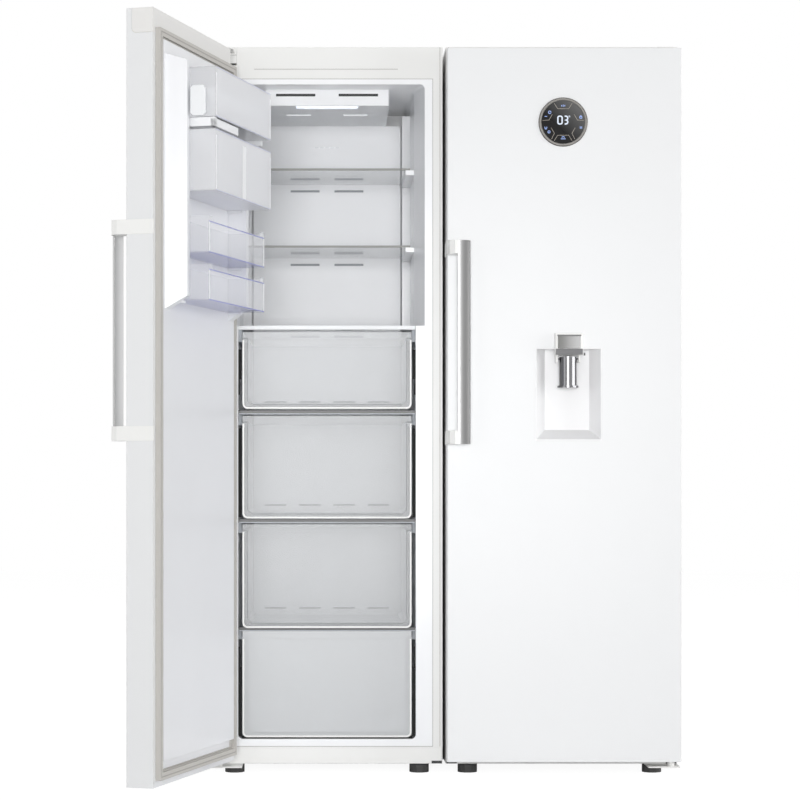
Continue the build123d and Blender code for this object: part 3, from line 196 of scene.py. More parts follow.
def boxes(name, corners, material, bevel_mm=0.0):
    """One mesh of separate boxes between low and high corners, with rounded edges."""
    shape = bmesh.new()
    for low, high in corners:
        low, high = Vector(low), Vector(high)
        where = Matrix.Translation((low + high) / 2) @ Matrix.Diagonal((*(high - low), 1.0))
        bmesh.ops.create_cube(shape, size=1.0, matrix=where)
    if bevel_mm:
        bmesh.ops.bevel(
            shape, geom=shape.edges[:], offset=bevel_mm * MM, segments=2, profile=0.7, affect="EDGES",
        )
    return mesh_object(name, shape, material)


def discs(name, centres, radius, thick, axis, material, sides=24, crown=0.0):
    """One mesh of short discs, for screw heads, dots and caps."""
    shape = bmesh.new()
    turn = {"X": Matrix.Rotation(math.pi / 2, 4, "Y"), "Y": Matrix.Rotation(math.pi / 2, 4, "X")}
    for centre in centres:
        where = Matrix.Translation(centre) @ turn.get(axis, Matrix.Identity(4))
        bmesh.ops.create_cone(
            shape, cap_ends=True, segments=sides, radius1=radius - crown, radius2=radius,
            depth=thick, matrix=where,
        )
    return mesh_object(name, shape, material)


def dress(material, *nodes):
    """Gives carried CAD nodes a finish."""
    for name in nodes:
        data = frame["nodes"][name].data
        data.materials.clear()
        data.materials.append(material)


def group_boxes(name, back=lambda point: point):
    """Boxes of a node's separate solids, highest first, after each point is put back by a function."""
    shape = bmesh.new()
    shape.from_mesh(frame["nodes"][name].data)
    bmesh.ops.remove_doubles(shape, verts=shape.verts[:], dist=1e-6)
    seen, found = set(), []
    for start in shape.verts:
        if start in seen:
            continue
        seen.add(start)
        group, waiting = [], [start]
        while waiting:
            vert = waiting.pop()
            group.append(back(vert.co.copy()))
            for edge in vert.link_edges:
                other = edge.other_vert(vert)
                if other not in seen:
                    seen.add(other)
                    waiting.append(other)
        low = Vector([min(p[k] for p in group) for k in range(3)])
        high = Vector([max(p[k] for p in group) for k in range(3)])
        found.append((low, high))
    shape.free()
    return sorted(found, key=lambda pair: -pair[1].z)


# ---------------------------------------------------------------------------
# Places on the open freezer door, in the coordinates that it has when closed
# ---------------------------------------------------------------------------

freezer_hinge = next(j for j in frame["joints"] if j["name"] == "freezer_door_hinge")
hinge_point = Vector((*freezer_hinge["pos_m"][:2], 0.0))
open_turn = Matrix.Rotation(math.radians(freezer_hinge["range_deg"][0]), 4, "Z")
swing = Matrix.Translation(hinge_point) @ open_turn @ Matrix.Translation(-hinge_point)
unswing = swing.inverted()


def swung(made):
    """Turns a piece that was built on the closed freezer door to where the door stands open."""
    made.data.transform(swing)
    return made


def closed_boxes(name):
    """Boxes of a freezer door node's solids as they are with the door closed."""
    return group_boxes(name, lambda point: unswing @ point)


# ---------------------------------------------------------------------------
# Materials
# ---------------------------------------------------------------------------

def painted_steel(name, colour, ripple_mm, ripple_depth_mm, roughness):
    """Coil-coated steel: the embossing roller leaves a fine ripple, so reflections blur softly."""
    material, tree, where = new_material(name)
    ripple = add(tree, "ShaderNodeTexNoise", {
        "Vector": where["Object"], "Scale": per_mm(ripple_mm), "Detail": 1.0,
    }).outputs["Fac"]
    cloud = add(tree, "ShaderNodeTexNoise", {"Vector": where["Object"], "Scale": per_mm(260.0)})
    return finished(
        material, tree, (cloud.outputs["Fac"], opaque(colour, 0.985), opaque(colour)), ripple,
        (roughness - 0.05, roughness + 0.05), ripple_depth_mm, 1.2, Coat_Weight=0.25, Coat_Roughness=0.25,
    )


def moulded_plastic(name, colour, roughness, grain_mm=0.8, grain_depth_mm=0.02, coat=0.0, soften_mm=1.0):
    """Injection-moulded or thermoformed plastic: fine spark grain, soft edges and slow tone changes."""
    material, tree, where = new_material(name)
    grain = add(tree, "ShaderNodeTexNoise", {"Vector": where["Object"], "Scale": per_mm(grain_mm)})
    cloud = add(tree, "ShaderNodeTexNoise", {"Vector": where["Object"], "Scale": per_mm(180.0)})
    return finished(
        material, tree, (cloud.outputs["Fac"], opaque(colour, 0.965), opaque(colour)),
        grain.outputs["Fac"], (roughness - 0.04, roughness + 0.06), grain_depth_mm, soften_mm,
        IOR=1.53, Coat_Weight=coat, Coat_Roughness=0.12,
    )


def clear_plastic(name, tint, edge, facing, grazing, roughness=0.12, glare=0.3):
    """Clear moulded polystyrene: see-through face on, denser at a slant, with an edge colour on faces that
    look up or down.
    """
    material, tree, where = new_material(name)
    flow = add(tree, "ShaderNodeTexNoise", {
        "Vector": where["Object"], "Scale": per_mm(60.0), "Detail": 1.0,
    }).outputs["Fac"]
    slant = add(tree, "ShaderNodeLayerWeight", {"Blend": 0.35}).outputs["Facing"]
    # Faces that look up or down take the edge colour and more density; where the edge colour differs, it is
    # light gathered in the clear edges, painted over the plastic's own tint.
    normal = add(tree, "ShaderNodeNewGeometry").outputs["True Normal"]
    axes = add(tree, "ShaderNodeSeparateXYZ", {"Vector": normal})
    level = add(tree, "ShaderNodeMath", {0: axes.outputs["Z"]}, operation="ABSOLUTE")
    cut = add(tree, "ShaderNodeMapRange", {
        "Value": level.outputs["Value"], "From Min": 0.75, "From Max": 0.95,
    }).outputs["Result"]
    density = add(tree, "ShaderNodeMapRange", {"Value": slant, "To Min": facing, "To Max": grazing})
    denser = add(tree, "ShaderNodeMath", {0: cut, 1: 0.25, 2: density.outputs["Result"]},
                 operation="MULTIPLY_ADD")
    return finished(
        material, tree, (cut, opaque(tint), opaque(edge)), flow, (roughness - 0.04, roughness + 0.04),
        0.03, 0.8, IOR=1.59, Specular_IOR_Level=glare, Alpha=denser.outputs["Value"],
    )


def brushed_metal(name, colour, roughness, stretch):
    """Brushed or drawn metal: fine parallel scratches that spread its highlight along one axis."""
    material, tree, where = new_material(name)
    along = add(tree, "ShaderNodeMapping", {"Vector": where["Object"], "Scale": stretch})
    streak = add(tree, "ShaderNodeTexNoise", {
        "Vector": along.outputs["Vector"], "Scale": per_mm(0.5), "Detail": 3.0,
    }).outputs["Fac"]
    return finished(
        material, tree, (streak, opaque(colour, 0.86), opaque(colour)), streak,
        (roughness - 0.08, roughness + 0.08), 0.01, 0.6, Metallic=1.0,
    )


def painted_reflection_metal(name, near, far, metallic, roughness):
    """Anodised or brushed strip: fine lengthwise scratches, and a painted reflection: a tone that turns from
    near to far across its width.
    """
    material, tree, where = new_material(name)
    # Painted reflection: the base colour blends from the near tone to the far tone across the piece's width.
    axes = add(tree, "ShaderNodeSeparateXYZ", {"Vector": where["Generated"]})
    across = add(tree, "ShaderNodeMapRange", {"Value": axes.outputs["X"]}, interpolation_type="SMOOTHSTEP")
    along = add(tree, "ShaderNodeMapping", {"Vector": where["Object"], "Scale": (1, 1, 0.02)})
    streak = add(tree, "ShaderNodeTexNoise", {
        "Vector": along.outputs["Vector"], "Scale": per_mm(0.6), "Detail": 3.0,
    }).outputs["Fac"]
    return finished(
        material, tree, (across.outputs["Result"], opaque(near), opaque(far)), streak,
        (roughness - 0.06, roughness + 0.06), 0.01, 0.4, Metallic=metallic,
    )


def chrome_with_painted_reflection(name, dark, bright):
    """Chrome plate on a rolled paddle: a painted reflection, dark and bright tones in bands round its curve.
    """
    material, tree, where = new_material(name)
    # Painted reflection: a cosine across the paddle blends the dark and bright tones.
    axes = add(tree, "ShaderNodeSeparateXYZ", {"Vector": where["Generated"]})
    turn = add(tree, "ShaderNodeMath", {0: axes.outputs["X"], 1: 2 * math.pi, 2: 0.6 * math.pi},
               operation="MULTIPLY_ADD")
    wave = add(tree, "ShaderNodeMath", {0: turn.outputs["Value"]}, operation="COSINE")
    share = add(tree, "ShaderNodeMapRange", {"Value": wave.outputs["Value"], "From Min": -1.0})
    haze = add(tree, "ShaderNodeTexNoise", {"Vector": where["Object"], "Scale": per_mm(8.0)})
    return finished(
        material, tree, (share.outputs["Result"], opaque(dark), opaque(bright)), haze.outputs["Fac"],
        (0.16, 0.22), 0.01, 0.6, Metallic=1.0,
    )


def galvanised_sheet(name, colour):
    """Hot-dip galvanised steel: zinc crystals make pale and dark spangles about 12 mm across."""
    material, tree, where = new_material(name)
    cells = add(tree, "ShaderNodeTexVoronoi", {"Vector": where["Object"], "Scale": per_mm(12.0)})
    tone = add(tree, "ShaderNodeSeparateColor", {"Color": cells.outputs["Color"]}).outputs["Red"]
    return finished(
        material, tree, (tone, opaque(colour, 0.84), opaque(colour)), tone, (0.38, 0.55), 0.01, 0.5,
        Metallic=0.85,
    )


def smoked_trim(name, clear, smoked, split):
    """Extruded polystyrene trim: frosted white above a height, smoked below it with cloudy runs."""
    material, tree, where = new_material(name)
    axes = add(tree, "ShaderNodeSeparateXYZ", {"Vector": where["Object"]})
    above = add(tree, "ShaderNodeMath", {0: axes.outputs["Z"], 1: split}, operation="GREATER_THAN")
    drawn = add(tree, "ShaderNodeMapping", {"Vector": where["Object"], "Scale": (1, 0.2, 0.2)})
    cloud = add(tree, "ShaderNodeTexNoise", {
        "Vector": drawn.outputs["Vector"], "Scale": per_mm(45.0), "Detail": 3.0,
    })
    runs = add(tree, "ShaderNodeMix", {
        "Factor": cloud.outputs["Fac"], "A": opaque(smoked), "B": opaque(smoked, 2.2),
    }, data_type="RGBA")
    grain = add(tree, "ShaderNodeTexNoise", {"Vector": where["Object"], "Scale": per_mm(0.8)})
    return finished(
        material, tree, (above.outputs["Value"], runs.outputs["Result"], opaque(clear)),
        grain.outputs["Fac"], (0.3, 0.4), 0.02, 0.8, IOR=1.59,
    )


def foamed_core(name, colour):
    """Poured polyurethane foam: small closed cells and soft yellow patches."""
    material, tree, where = new_material(name)
    cells = add(tree, "ShaderNodeTexNoise", {
        "Vector": where["Object"], "Scale": per_mm(1.5), "Detail": 4.0,
    })
    cloud = add(tree, "ShaderNodeTexNoise", {"Vector": where["Object"], "Scale": per_mm(70.0)})
    return finished(
        material, tree, (cloud.outputs["Fac"], opaque(colour, 0.85), opaque(colour)),
        cells.outputs["Fac"], (0.85, 0.95), 0.4,
    )


def dark_glass(name, low_colour, high_colour):
    """Toughened glass printed black behind: deep and glossy, with a painted reflection, a paler tone up one
    side.
    """
    material, tree, where = new_material(name)
    # Painted reflection: the colour rises towards the paler tone at the upper right.
    axes = add(tree, "ShaderNodeSeparateXYZ", {"Vector": where["Generated"]})
    across = add(tree, "ShaderNodeMath", {0: axes.outputs["X"], 1: axes.outputs["Z"]}, operation="ADD")
    rise = add(tree, "ShaderNodeMapRange", {
        "Value": across.outputs["Value"], "From Min": 0.8, "From Max": 1.9,
    })
    haze = add(tree, "ShaderNodeTexNoise", {"Vector": where["Object"], "Scale": per_mm(40.0)})
    return finished(
        material, tree, (rise.outputs["Result"], opaque(low_colour), opaque(high_colour)),
        haze.outputs["Fac"], (0.2, 0.28), 0.01, 0.5, IOR=1.5, Specular_IOR_Level=0.12,
    )


def glowing(name, colour, strength):
    """Light behind a printed diffuser: it shines a little unevenly. The pale baffles use it too, as painted
    light with no lamp behind them.
    """
    material, tree, where = new_material(name)
    cloud = add(tree, "ShaderNodeTexNoise", {"Vector": where["Object"], "Scale": per_mm(6.0)})
    shine = add(tree, "ShaderNodeMix", {
        "Factor": cloud.outputs["Fac"], "A": opaque(colour, 0.9), "B": opaque(colour),
    }, data_type="RGBA")
    shader = add(tree, "ShaderNodeBsdfPrincipled", {
        "Base Color": (0.02, 0.02, 0.02, 1.0), "Roughness": 0.4,
        "Emission Color": shine.outputs["Result"], "Emission Strength": strength,
    })
    add(tree, "ShaderNodeOutputMaterial", {"Surface": shader.outputs["BSDF"]})
    return material


# ---------------------------------------------------------------------------
# Sizes and colours that a user would change
# ---------------------------------------------------------------------------

def colour_of(label, code, about):
    """Colour property with its default from an sRGB hex code."""
    return bpy.props.FloatVectorProperty(
        name=label, description=about, subtype="COLOR", size=3, min=0.0, max=1.0, default=linear(code)[:3],
    )


def length_of(label, value_mm, about):
    """Length property, a plain number of millimetres."""
    return bpy.props.FloatProperty(name=label, description=about, default=value_mm, min=0.0)


class SteelSettings(bpy.types.PropertyGroup):
    door_white: colour_of("Door white", "E4E5E6", "Colour of the embossed door skins")
    frame_white: colour_of("Frame white", "EBEBE9", "Colour of the cabinets' steel")
    ripple: length_of("Ripple", 2.4, "Spacing of the door skins' embossing, in millimetres")
    ripple_depth: length_of("Ripple depth", 0.03, "Height of the embossing, in millimetres")
    zinc: colour_of("Zinc", "C4C8CA", "Colour of the galvanised back sheets")


class PlasticSettings(bpy.types.PropertyGroup):
    liner: colour_of("Liner", "F5F6F8", "Colour of the thermoformed liners")
    door_liner: colour_of("Door liner", "EAEBEE", "Colour of the doors' thermoformed liners")
    niche: colour_of("Niche", "F2F2F3", "Colour of the dispenser's niche")
    moulded: colour_of("Moulded white", "EFEFED", "Colour of the white moulded trim")
    cap: colour_of("Door cap", "E5E4E2", "Colour of the doors' end caps")
    gasket: colour_of("Gasket", "C3C0BB", "Colour of the door seals")
    # The groove colour also goes on the painted shade lines of the door seals.
    groove: colour_of("Groove", "A19E9A", "Colour of seams and of the lines beside the seals")
    strip: colour_of("Shelf strip", "8C8C88", "Colour of the strips on the freezer's shelves")
    trim: colour_of("Divider trim", "F2F4F6", "Colour of the frosted front over the drawers")
    smoked: colour_of("Smoked trim", "16181A", "Colour of the fronts between the drawers")
    runner: colour_of("Runner", "C4C9CF", "Colour of the drawers' runners")
    shade: colour_of("Shaded slot", "34383C", "Colour inside slots that look dark")
    rubber: colour_of("Feet", "4C4C4C", "Colour of the feet")
    foam: colour_of("Foam", "E8DCA8", "Colour of the insulation")
    dark: colour_of("Dark parts", "1C1D1F", "Colour of inlets, motor and compressor")


class ClearSettings(bpy.types.PropertyGroup):
    drawer: colour_of("Drawers", "F6F8FA", "Tint of the clear drawers")
    bin: colour_of("Bins", "FAFBFE", "Tint of the clear door bins")
    # Painted light: the violet that refracted light gathers in the bins' clear edges, over their own tint.
    cut_edge: colour_of("Cut edge", "A4A8D8", "Colour that gathers in the bins' edges")
    rim: colour_of("Rim", "CFD1E2", "Colour of the ice maker's rims")
    # The bead is a painted highlight along the drawers' rims, and also sets the width of the bins' edge
    # rails.
    bead: length_of("Bead", 4.6, "Width of the bright bead along a rim, in millimetres")


class MetalSettings(bpy.types.PropertyGroup):
    # Painted reflection: the grips' near and far tones, and the back's colour with its darker copy, are
    # blended across each grip's width.
    grip: colour_of("Grip", "AEAEAE", "Colour of the anodised grips at their near edge")
    grip_dark: colour_of("Grip's far edge", "585858", "Colour of the anodised grips at their far edge")
    grip_back: colour_of("Grip's back", "F2F2F2", "Colour of the grips' matt back")
    grip_width: length_of("Grip width", 31.0, "Width of the grips, in millimetres")
    # Painted reflection: the lever's dark and bright chrome tones are bands round its curve.
    chrome: colour_of("Chrome", "808082", "Bright tone of the dispenser's lever")
    chrome_dark: colour_of("Dark chrome", "6E6E70", "Dark tone of the dispenser's lever")
    # Painted reflection: the plate's two tones are blended across its width.
    plate: colour_of("Plate", "4A4A49", "Colour of the brushed plate over the lever")
    plate_far: colour_of("Plate's far side", "707070", "Colour of the plate where it turns bright")
    ring: colour_of("Ring", "686663", "Colour of the control panel's ring")
    hinge: colour_of("Hinge", "B8BABB", "Colour of the zinc-plated hinges")
    fins: colour_of("Fins", "CDD0D2", "Colour of the evaporator's fins")


class PanelSettings(bpy.types.PropertyGroup):
    glass_low: colour_of("Glass", "050506", "Colour of the dark glass")
    # Painted reflection: the glass fades up to this paler tone at its upper right.
    glass_high: colour_of("Glass fade", "6C6C6C", "Colour of the glass at its upper right")
    mark: colour_of("Marks", "A39C92", "Colour of the printed lines")
    light: colour_of("Digits", "E4EEFF", "Colour of the lit digits")
    icon: colour_of("Icons", "9DBBFF", "Colour of the lit icons")
    stroke: length_of("Stroke", 3.3, "Width of the digits' strokes, in millimetres")
    digit_height: length_of("Digit height", 22.9, "Height of the lit digits, in millimetres")
    digit_width: length_of("Digit width", 14.0, "Width of the lit digits, in millimetres")
    line: length_of("Line", 1.3, "Width of the printed lines, in millimetres")


class StageSettings(bpy.types.PropertyGroup):
    distance: bpy.props.FloatProperty(
        name="Distance", description="From the cabinets' front to the camera", default=6.105, unit="LENGTH",
    )
    eye_height: bpy.props.FloatProperty(
        name="Eye height", description="Camera's height over the floor", default=0.745, unit="LENGTH",
    )
    lens: bpy.props.FloatProperty(name="Lens", description="Focal length in millimetres", default=107.6)
    shift_x: bpy.props.FloatProperty(name="Shift X", description="Sideways framing", default=0.09125)
    shift_y: bpy.props.FloatProperty(name="Shift Y", description="Upward framing", default=0.1025)
    front: bpy.props.FloatProperty(
        name="Front", description="Softbox behind the camera in watts", default=322.0,
    )
    key: bpy.props.FloatProperty(name="Key", description="Left softbox in watts", default=34.0)
    fill: bpy.props.FloatProperty(name="Fill", description="Right softbox in watts", default=130.0)
    sky: bpy.props.FloatProperty(name="Sky", description="Even light from all round", default=0.4)


# ---------------------------------------------------------------------------
# Finishes of the carried parts
# ---------------------------------------------------------------------------

class FinishSteel(bpy.types.Operator):
    """Embossed door skins, painted cabinets and galvanised backs"""
    bl_idname = "refrigerator.finish_steel"
    bl_label = "Steel"

    def execute(self, context):
        s = context.scene.refrigerator_steel
        doors = painted_steel("embossed_coated_steel", s.door_white, s.ripple, s.ripple_depth, 0.38)
        frames = painted_steel("coated_frame_steel", s.frame_white, s.ripple, s.ripple_depth / 2, 0.42)
        dress(doors, "freezer_door_skin", "fridge_door_skin")
        dress(frames, "freezer_shell", "fridge_shell")
        backs = galvanised_sheet("galvanised_steel_sheet", s.zinc)
        dress(backs, "freezer_rear_panel", "fridge_rear_panel", "joining_plates")
        return {"FINISHED"}


class FinishPlastics(bpy.types.Operator):
    """Liners, moulded trim, seals, runners, feet and foam"""
    bl_idname = "refrigerator.finish_plastics"
    bl_label = "Plastics"

    def execute(self, context):
        s = context.scene.refrigerator_plastics
        sheet = {"grain_mm": 3.0, "coat": 0.3}
        for name, colour, roughness, own, nodes in (
            ("thermoformed_polystyrene_liner", s.liner, 0.32, sheet, ("freezer_liner", "fridge_liner")),
            ("thermoformed_polystyrene_door_liner", s.door_liner, 0.32, sheet,
             ("freezer_door_liner", "fridge_door_liner")),
            ("moulded_abs_inner_cover", s.liner, 0.38, {}, ("freezer_duct_cover", "freezer_fan_housing")),
            ("moulded_white_abs", s.moulded, 0.35, {},
             ("hinge_covers", "freezer_handle_brackets", "fridge_handle_brackets", "plinths")),
            ("moulded_niche_abs", s.niche, 0.35, {}, ("dispenser_recess",)),
            ("moulded_cap_abs", s.cap, 0.45, {}, ("freezer_door_caps", "fridge_door_caps")),
            ("extruded_soft_pvc_seal", s.gasket, 0.6, {"grain_mm": 1.5, "soften_mm": 2.0},
             ("freezer_door_gasket", "fridge_door_gasket")),
            ("extruded_shelf_strip", s.strip, 0.4, {}, ("freezer_shelf_strips",)),
            ("moulded_acetal_runner", s.runner, 0.45, {}, ("drawer_runners",)),
            ("moulded_rubber_foot", s.rubber, 0.75, {"grain_mm": 1.2, "grain_depth_mm": 0.08},
             ("front_feet", "rear_feet")),
            ("moulded_black_polyamide", s.dark, 0.5, {}, ("power_inlets", "freezer_fan_motor")),
            ("black_stoved_enamel_pot", s.dark, 0.3, {"grain_mm": 5.0, "coat": 0.4}, ("compressors",)),
            ("moulded_fan_polypropylene", s.moulded, 0.45, {}, ("freezer_fan_rotor",)),
            ("moulded_ice_tray_polypropylene", s.trim, 0.45, {}, ("ice_tray", "ice_tray_lever")),
        ):
            dress(moulded_plastic(name, colour, roughness, **own), *nodes)
        upper, *lower = group_boxes("divider_trims")
        split = (upper[0].z + lower[0][1].z) / 2
        dress(smoked_trim("extruded_polystyrene_trim", s.trim, s.smoked, split), "divider_trims")
        dress(foamed_core("poured_polyurethane_foam", s.foam), "freezer_insulation", "fridge_insulation",
              "freezer_door_foam", "fridge_door_foam")
        lens = clear_plastic("moulded_lens_polycarbonate", s.liner, s.liner, 0.35, 0.8)
        shader = next(n for n in lens.node_tree.nodes if n.type == "BSDF_PRINCIPLED")
        shader.inputs["Emission Color"].default_value = linear("E6EEFF")
        shader.inputs["Emission Strength"].default_value = 0.7
        dress(lens, "freezer_lamp_lens")
        return {"FINISHED"}


class FinishClear(bpy.types.Operator):
    """Clear drawers, bins, ice maker housing, tank and glass shelves"""
    bl_idname = "refrigerator.finish_clear"
    bl_label = "Clear plastics and glass"

    def execute(self, context):
        s = context.scene.refrigerator_clear
        drawers = clear_plastic("moulded_clear_polystyrene", s.drawer, s.drawer, 0.26, 0.8, roughness=0.2)
        dress(drawers, "drawer_1", "drawer_2", "drawer_3", "fridge_crispers")
        deep = clear_plastic("moulded_thick_polystyrene", s.drawer, s.drawer, 0.48, 0.86, roughness=0.2)
        dress(deep, "drawer_4")
        bins = clear_plastic("moulded_tinted_polystyrene", s.bin, s.cut_edge, 0.1, 0.3)
        dress(bins, "freezer_door_bins", "fridge_door_bins", "water_tank")
        milky = clear_plastic("moulded_milky_polystyrene", s.bin, s.bin, 0.48, 0.78, roughness=0.3)
        dress(milky, "ice_bucket", "ice_maker_housing")
        glass = clear_plastic("float_glass_shelf", s.drawer, s.drawer, 0.05, 0.2, roughness=0.05, glare=0.2)
        dress(glass, "freezer_glass_shelves", "drawer_dividers", "fridge_shelves")
        return {"FINISHED"}


class FinishMetals(bpy.types.Operator):
    """Chrome lever, ring, hinges and fins"""
    bl_idname = "refrigerator.finish_metals"
    bl_label = "Metals"

    def execute(self, context):
        s = context.scene.refrigerator_metals
        # The lever's chrome carries its reflection painted in bands.
        dress(chrome_with_painted_reflection("chrome_plate_painted_reflection", s.chrome_dark, s.chrome), "dispenser_lever")
        dress(brushed_metal("turned_ring_metal", s.ring, 0.35, (1, 0.1, 1)), "control_bezel")
        steel = context.scene.refrigerator_steel
        hinges = painted_steel("coated_hinge_steel", steel.frame_white, steel.ripple, 0.01, 0.4)
        dress(hinges, "freezer_hinges", "fridge_hinges")
        dress(brushed_metal("rolled_aluminium_fin", s.fins, 0.4, (1, 1, 0.05)), "freezer_evaporator")
        return {"FINISHED"}


class MakeGrips(bpy.types.Operator):
    """Curved aluminium grips, brushed in front and matt behind, each face with a painted reflection that
    darkens towards one edge
    """
    bl_idname = "refrigerator.make_grips"
    bl_label = "Grips"

    def execute(self, context):
        s = context.scene.refrigerator_metals
        brushed = painted_reflection_metal("anodised_aluminium_painted_reflection", s.grip, s.grip_dark, 1.0, 0.34)
        # Painted shade: a darker copy of the back's colour, for one edge of its painted reflection.
        shaded = tuple(c * 0.7 for c in s.grip_back)
        matt = painted_reflection_metal("matt_aluminium_painted_reflection", shaded, s.grip_back, 0.1, 0.55)
        steps, thick = 12, 4.0 * MM
        for name, body, side in (
            ("freezer_handle_bar", "freezer_door", -1), ("fridge_handle_bar", "fridge_door", 1),
        ):
            low, high = closed_boxes(name)[0] if side < 0 else group_boxes(name)[0]
            start = low.x if side > 0 else high.x
            whole, fall = high.x - low.x, high.y - low.y - thick
            curve = []
            for i in range(steps + 1):
                along = s.grip_width * MM * i / steps
                curve.append((start + side * along, low.y + fall * (along / whole) ** 2))
            shape = bmesh.new()
            front, back = ([[shape.verts.new((x, y + off, z)) for z in (low.z, high.z)] for x, y in curve]
                           for off in (0.0, thick))
            for row, kind in ((front, 0), (back, 1)):
                for i in range(steps):
                    face = shape.faces.new((row[i][0], row[i + 1][0], row[i + 1][1], row[i][1]))
                    face.material_index, face.smooth = kind, True
            for i in (0, steps):
                shape.faces.new((front[i][0], front[i][1], back[i][1], back[i][0]))
            for end in (0, 1):
                shape.faces.new([pair[end] for pair in front] + [pair[end] for pair in reversed(back)])
            bmesh.ops.recalc_face_normals(shape, faces=shape.faces)
            bmesh.ops.split_edges(shape, edges=[e for e in shape.edges if e.calc_face_angle(0.0) > 1.0])
            piece = mesh_object(f"{body}_grip", shape, brushed)
            piece.data.materials.append(matt)
            if side < 0:
                swung(piece)
            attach(piece, body)
            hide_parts(name)
        return {"FINISHED"}


# ---------------------------------------------------------------------------
# Control panel and dispenser
# ---------------------------------------------------------------------------

def rounded_loop(centre, width, height, radius):
    """Closed outline of a rectangle with round corners."""
    points = []
    for sx, sy, start in ((1, -1, -90), (1, 1, 0), (-1, 1, 90), (-1, -1, 180)):
        corner = (centre[0] + sx * (width / 2 - radius), centre[1] + sy * (height / 2 - radius))
        points += arc(corner, radius, start, start + 90, 5)
    return points


def digit_three(centre, width, height):
    """Open outline of a 3 drawn with two bows."""
    radius = height / 4
    upper = (centre[0] + width / 2 - radius, centre[1] + radius)
    lower = (centre[0] + width / 2 - radius, centre[1] - radius)
    start = (centre[0] - width / 2 + 1.0, centre[1] + height / 2)
    bow_high = arc(upper, radius, 90, -90, 8)
    bow_low = arc(lower, radius, 90, -90, 8)[1:]
    end = (centre[0] - width / 2 + 1.0, centre[1] - height / 2)
    return [start, *bow_high, *bow_low, end]


def turned_line(points, degrees, mirror=1):
    """Line turned about the panel's centre, and mirrored first if asked."""
    c, s = math.cos(math.radians(degrees)), math.sin(math.radians(degrees))
    return [(mirror * u * c - v * s, mirror * u * s + v * c) for u, v in points]


class MakeDisplay(bpy.types.Operator):
    """Printed zones, icons and lit digits on the round control panel"""
    bl_idname = "refrigerator.make_display"
    bl_label = "Display"

    def execute(self, context):
        s = context.scene.refrigerator_panel
        low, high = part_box("control_bezel")
        glass_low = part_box("control_glass")[0]
        centre = (Vector(low) + Vector(high)) / 2
        face = glass_low[1]

        def on_glass(point, depth):
            return Vector((centre.x + point[0] * MM, face - depth * MM, centre.z + point[1] * MM))

        dress(dark_glass("printed_glass_painted_reflection", s.glass_low, s.glass_high), "control_glass")
        inner, outer, corner, leg = 33.5, 47.0, 13.8, 22.6
        full = [(-leg, outer), (-corner, inner), (corner, inner), (leg, outer)]
        part = [(leg, outer), (corner, inner), (corner * -0.2, inner)]
        lines = [(turned_line(full, 0), False), (turned_line(full, 180), False)]
        for turn in (60, 120):
            lines.append((turned_line(part, -turn), False))
            lines.append((turned_line(part, turn, mirror=-1), False))
        printed = moulded_plastic("screen_printed_ink", s.mark, 0.5)
        zones = ribbons("display_zones", lines, s.line, 0.15, on_glass, printed)
        icons = [
            ([(-4.0, 39.0), (-4.0, 43.0)], False), ([(0.0, 38.4), (0.0, 43.6)], False),
            ([(4.0, 39.0), (4.0, 43.0)], False),
            ([(-6.0, -42.5), (6.0, -42.5)], False), (arc((0.0, -40.5), 3.6, 20, 160, 8), False),
            (rounded_loop((44.4, 11.6), 5.4, 4.4, 1.0), True), (arc((44.4, 13.8), 1.9, 0, 180, 8), False),
            ([(43.0, -17.0), (43.0, -11.2)], False), ([(46.6, -17.0), (46.6, -11.2)], False),
            (arc((-34.0, 24.4), 3.2, 0, 345, 14), False), ([(-46.5, 14.0), (-40.5, 14.0)], False),
            ([(-46.5, -12.0), (-45.2, -17.6), (-42.2, -17.6), (-40.9, -12.0)], False),
            (arc((-35.7, -25.0), 2.8, 0, 345, 14), False),
        ]
        signs = ribbons("display_icons", icons, 1.8, 0.15, on_glass, glowing("lit_display_icon", s.icon, 0.9))
        tall, wide = s.digit_height, s.digit_width
        digits = [
            (rounded_loop((-8.0, 4.8), wide - s.stroke, tall - s.stroke, 4.0), True),
            (digit_three((7.2, 4.8), wide - 1.8 - s.stroke, tall - s.stroke), False),
        ]
        lit = glowing("lit_display_digit", s.light, 1.0)
        number = ribbons("display_digits", digits, s.stroke, 0.2, on_glass, lit)
        circle = arc((15.6, 14.0), 1.5, 0, 345, 12)
        degree = ribbons("display_degree", [(circle, True)], 1.1, 0.2, on_glass, lit)
        for piece in (zones, signs, number, degree):
            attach(piece, "fridge_door")
        return {"FINISHED"}


class MakeRing(bpy.types.Operator):
    """Turned lines and the pointer dot on the control panel's ring"""
    bl_idname = "refrigerator.make_ring"
    bl_label = "Panel ring"

    def execute(self, context):
        s = context.scene.refrigerator_metals
        low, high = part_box("control_bezel")
        centre = (Vector(low) + Vector(high)) / 2
        radius = (high[0] - low[0]) / 2 / MM
        face = low[1]

        def on_ring(point, depth):
            return Vector((centre.x + point[0] * MM, face + (0.05 - depth) * MM, centre.z + point[1] * MM))

        groove = moulded_plastic("shaded_ring_groove", tuple(c * 0.45 for c in s.ring), 0.5)
        circles = [(arc((0, 0), radius - inset, 0, 354, 59), True) for inset in (2.0, 5.9)]
        lines = ribbons("ring_lines", circles, 0.5, 0.12, on_ring, groove)
        dot = discs("ring_dot", [centre + Vector((0, face - centre.y - 0.1 * MM, -(radius - 4.0) * MM))],
                    1.3 * MM, 0.4 * MM, "Y", groove)
        for piece in (lines, dot):
            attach(piece, "fridge_door")
        return {"FINISHED"}


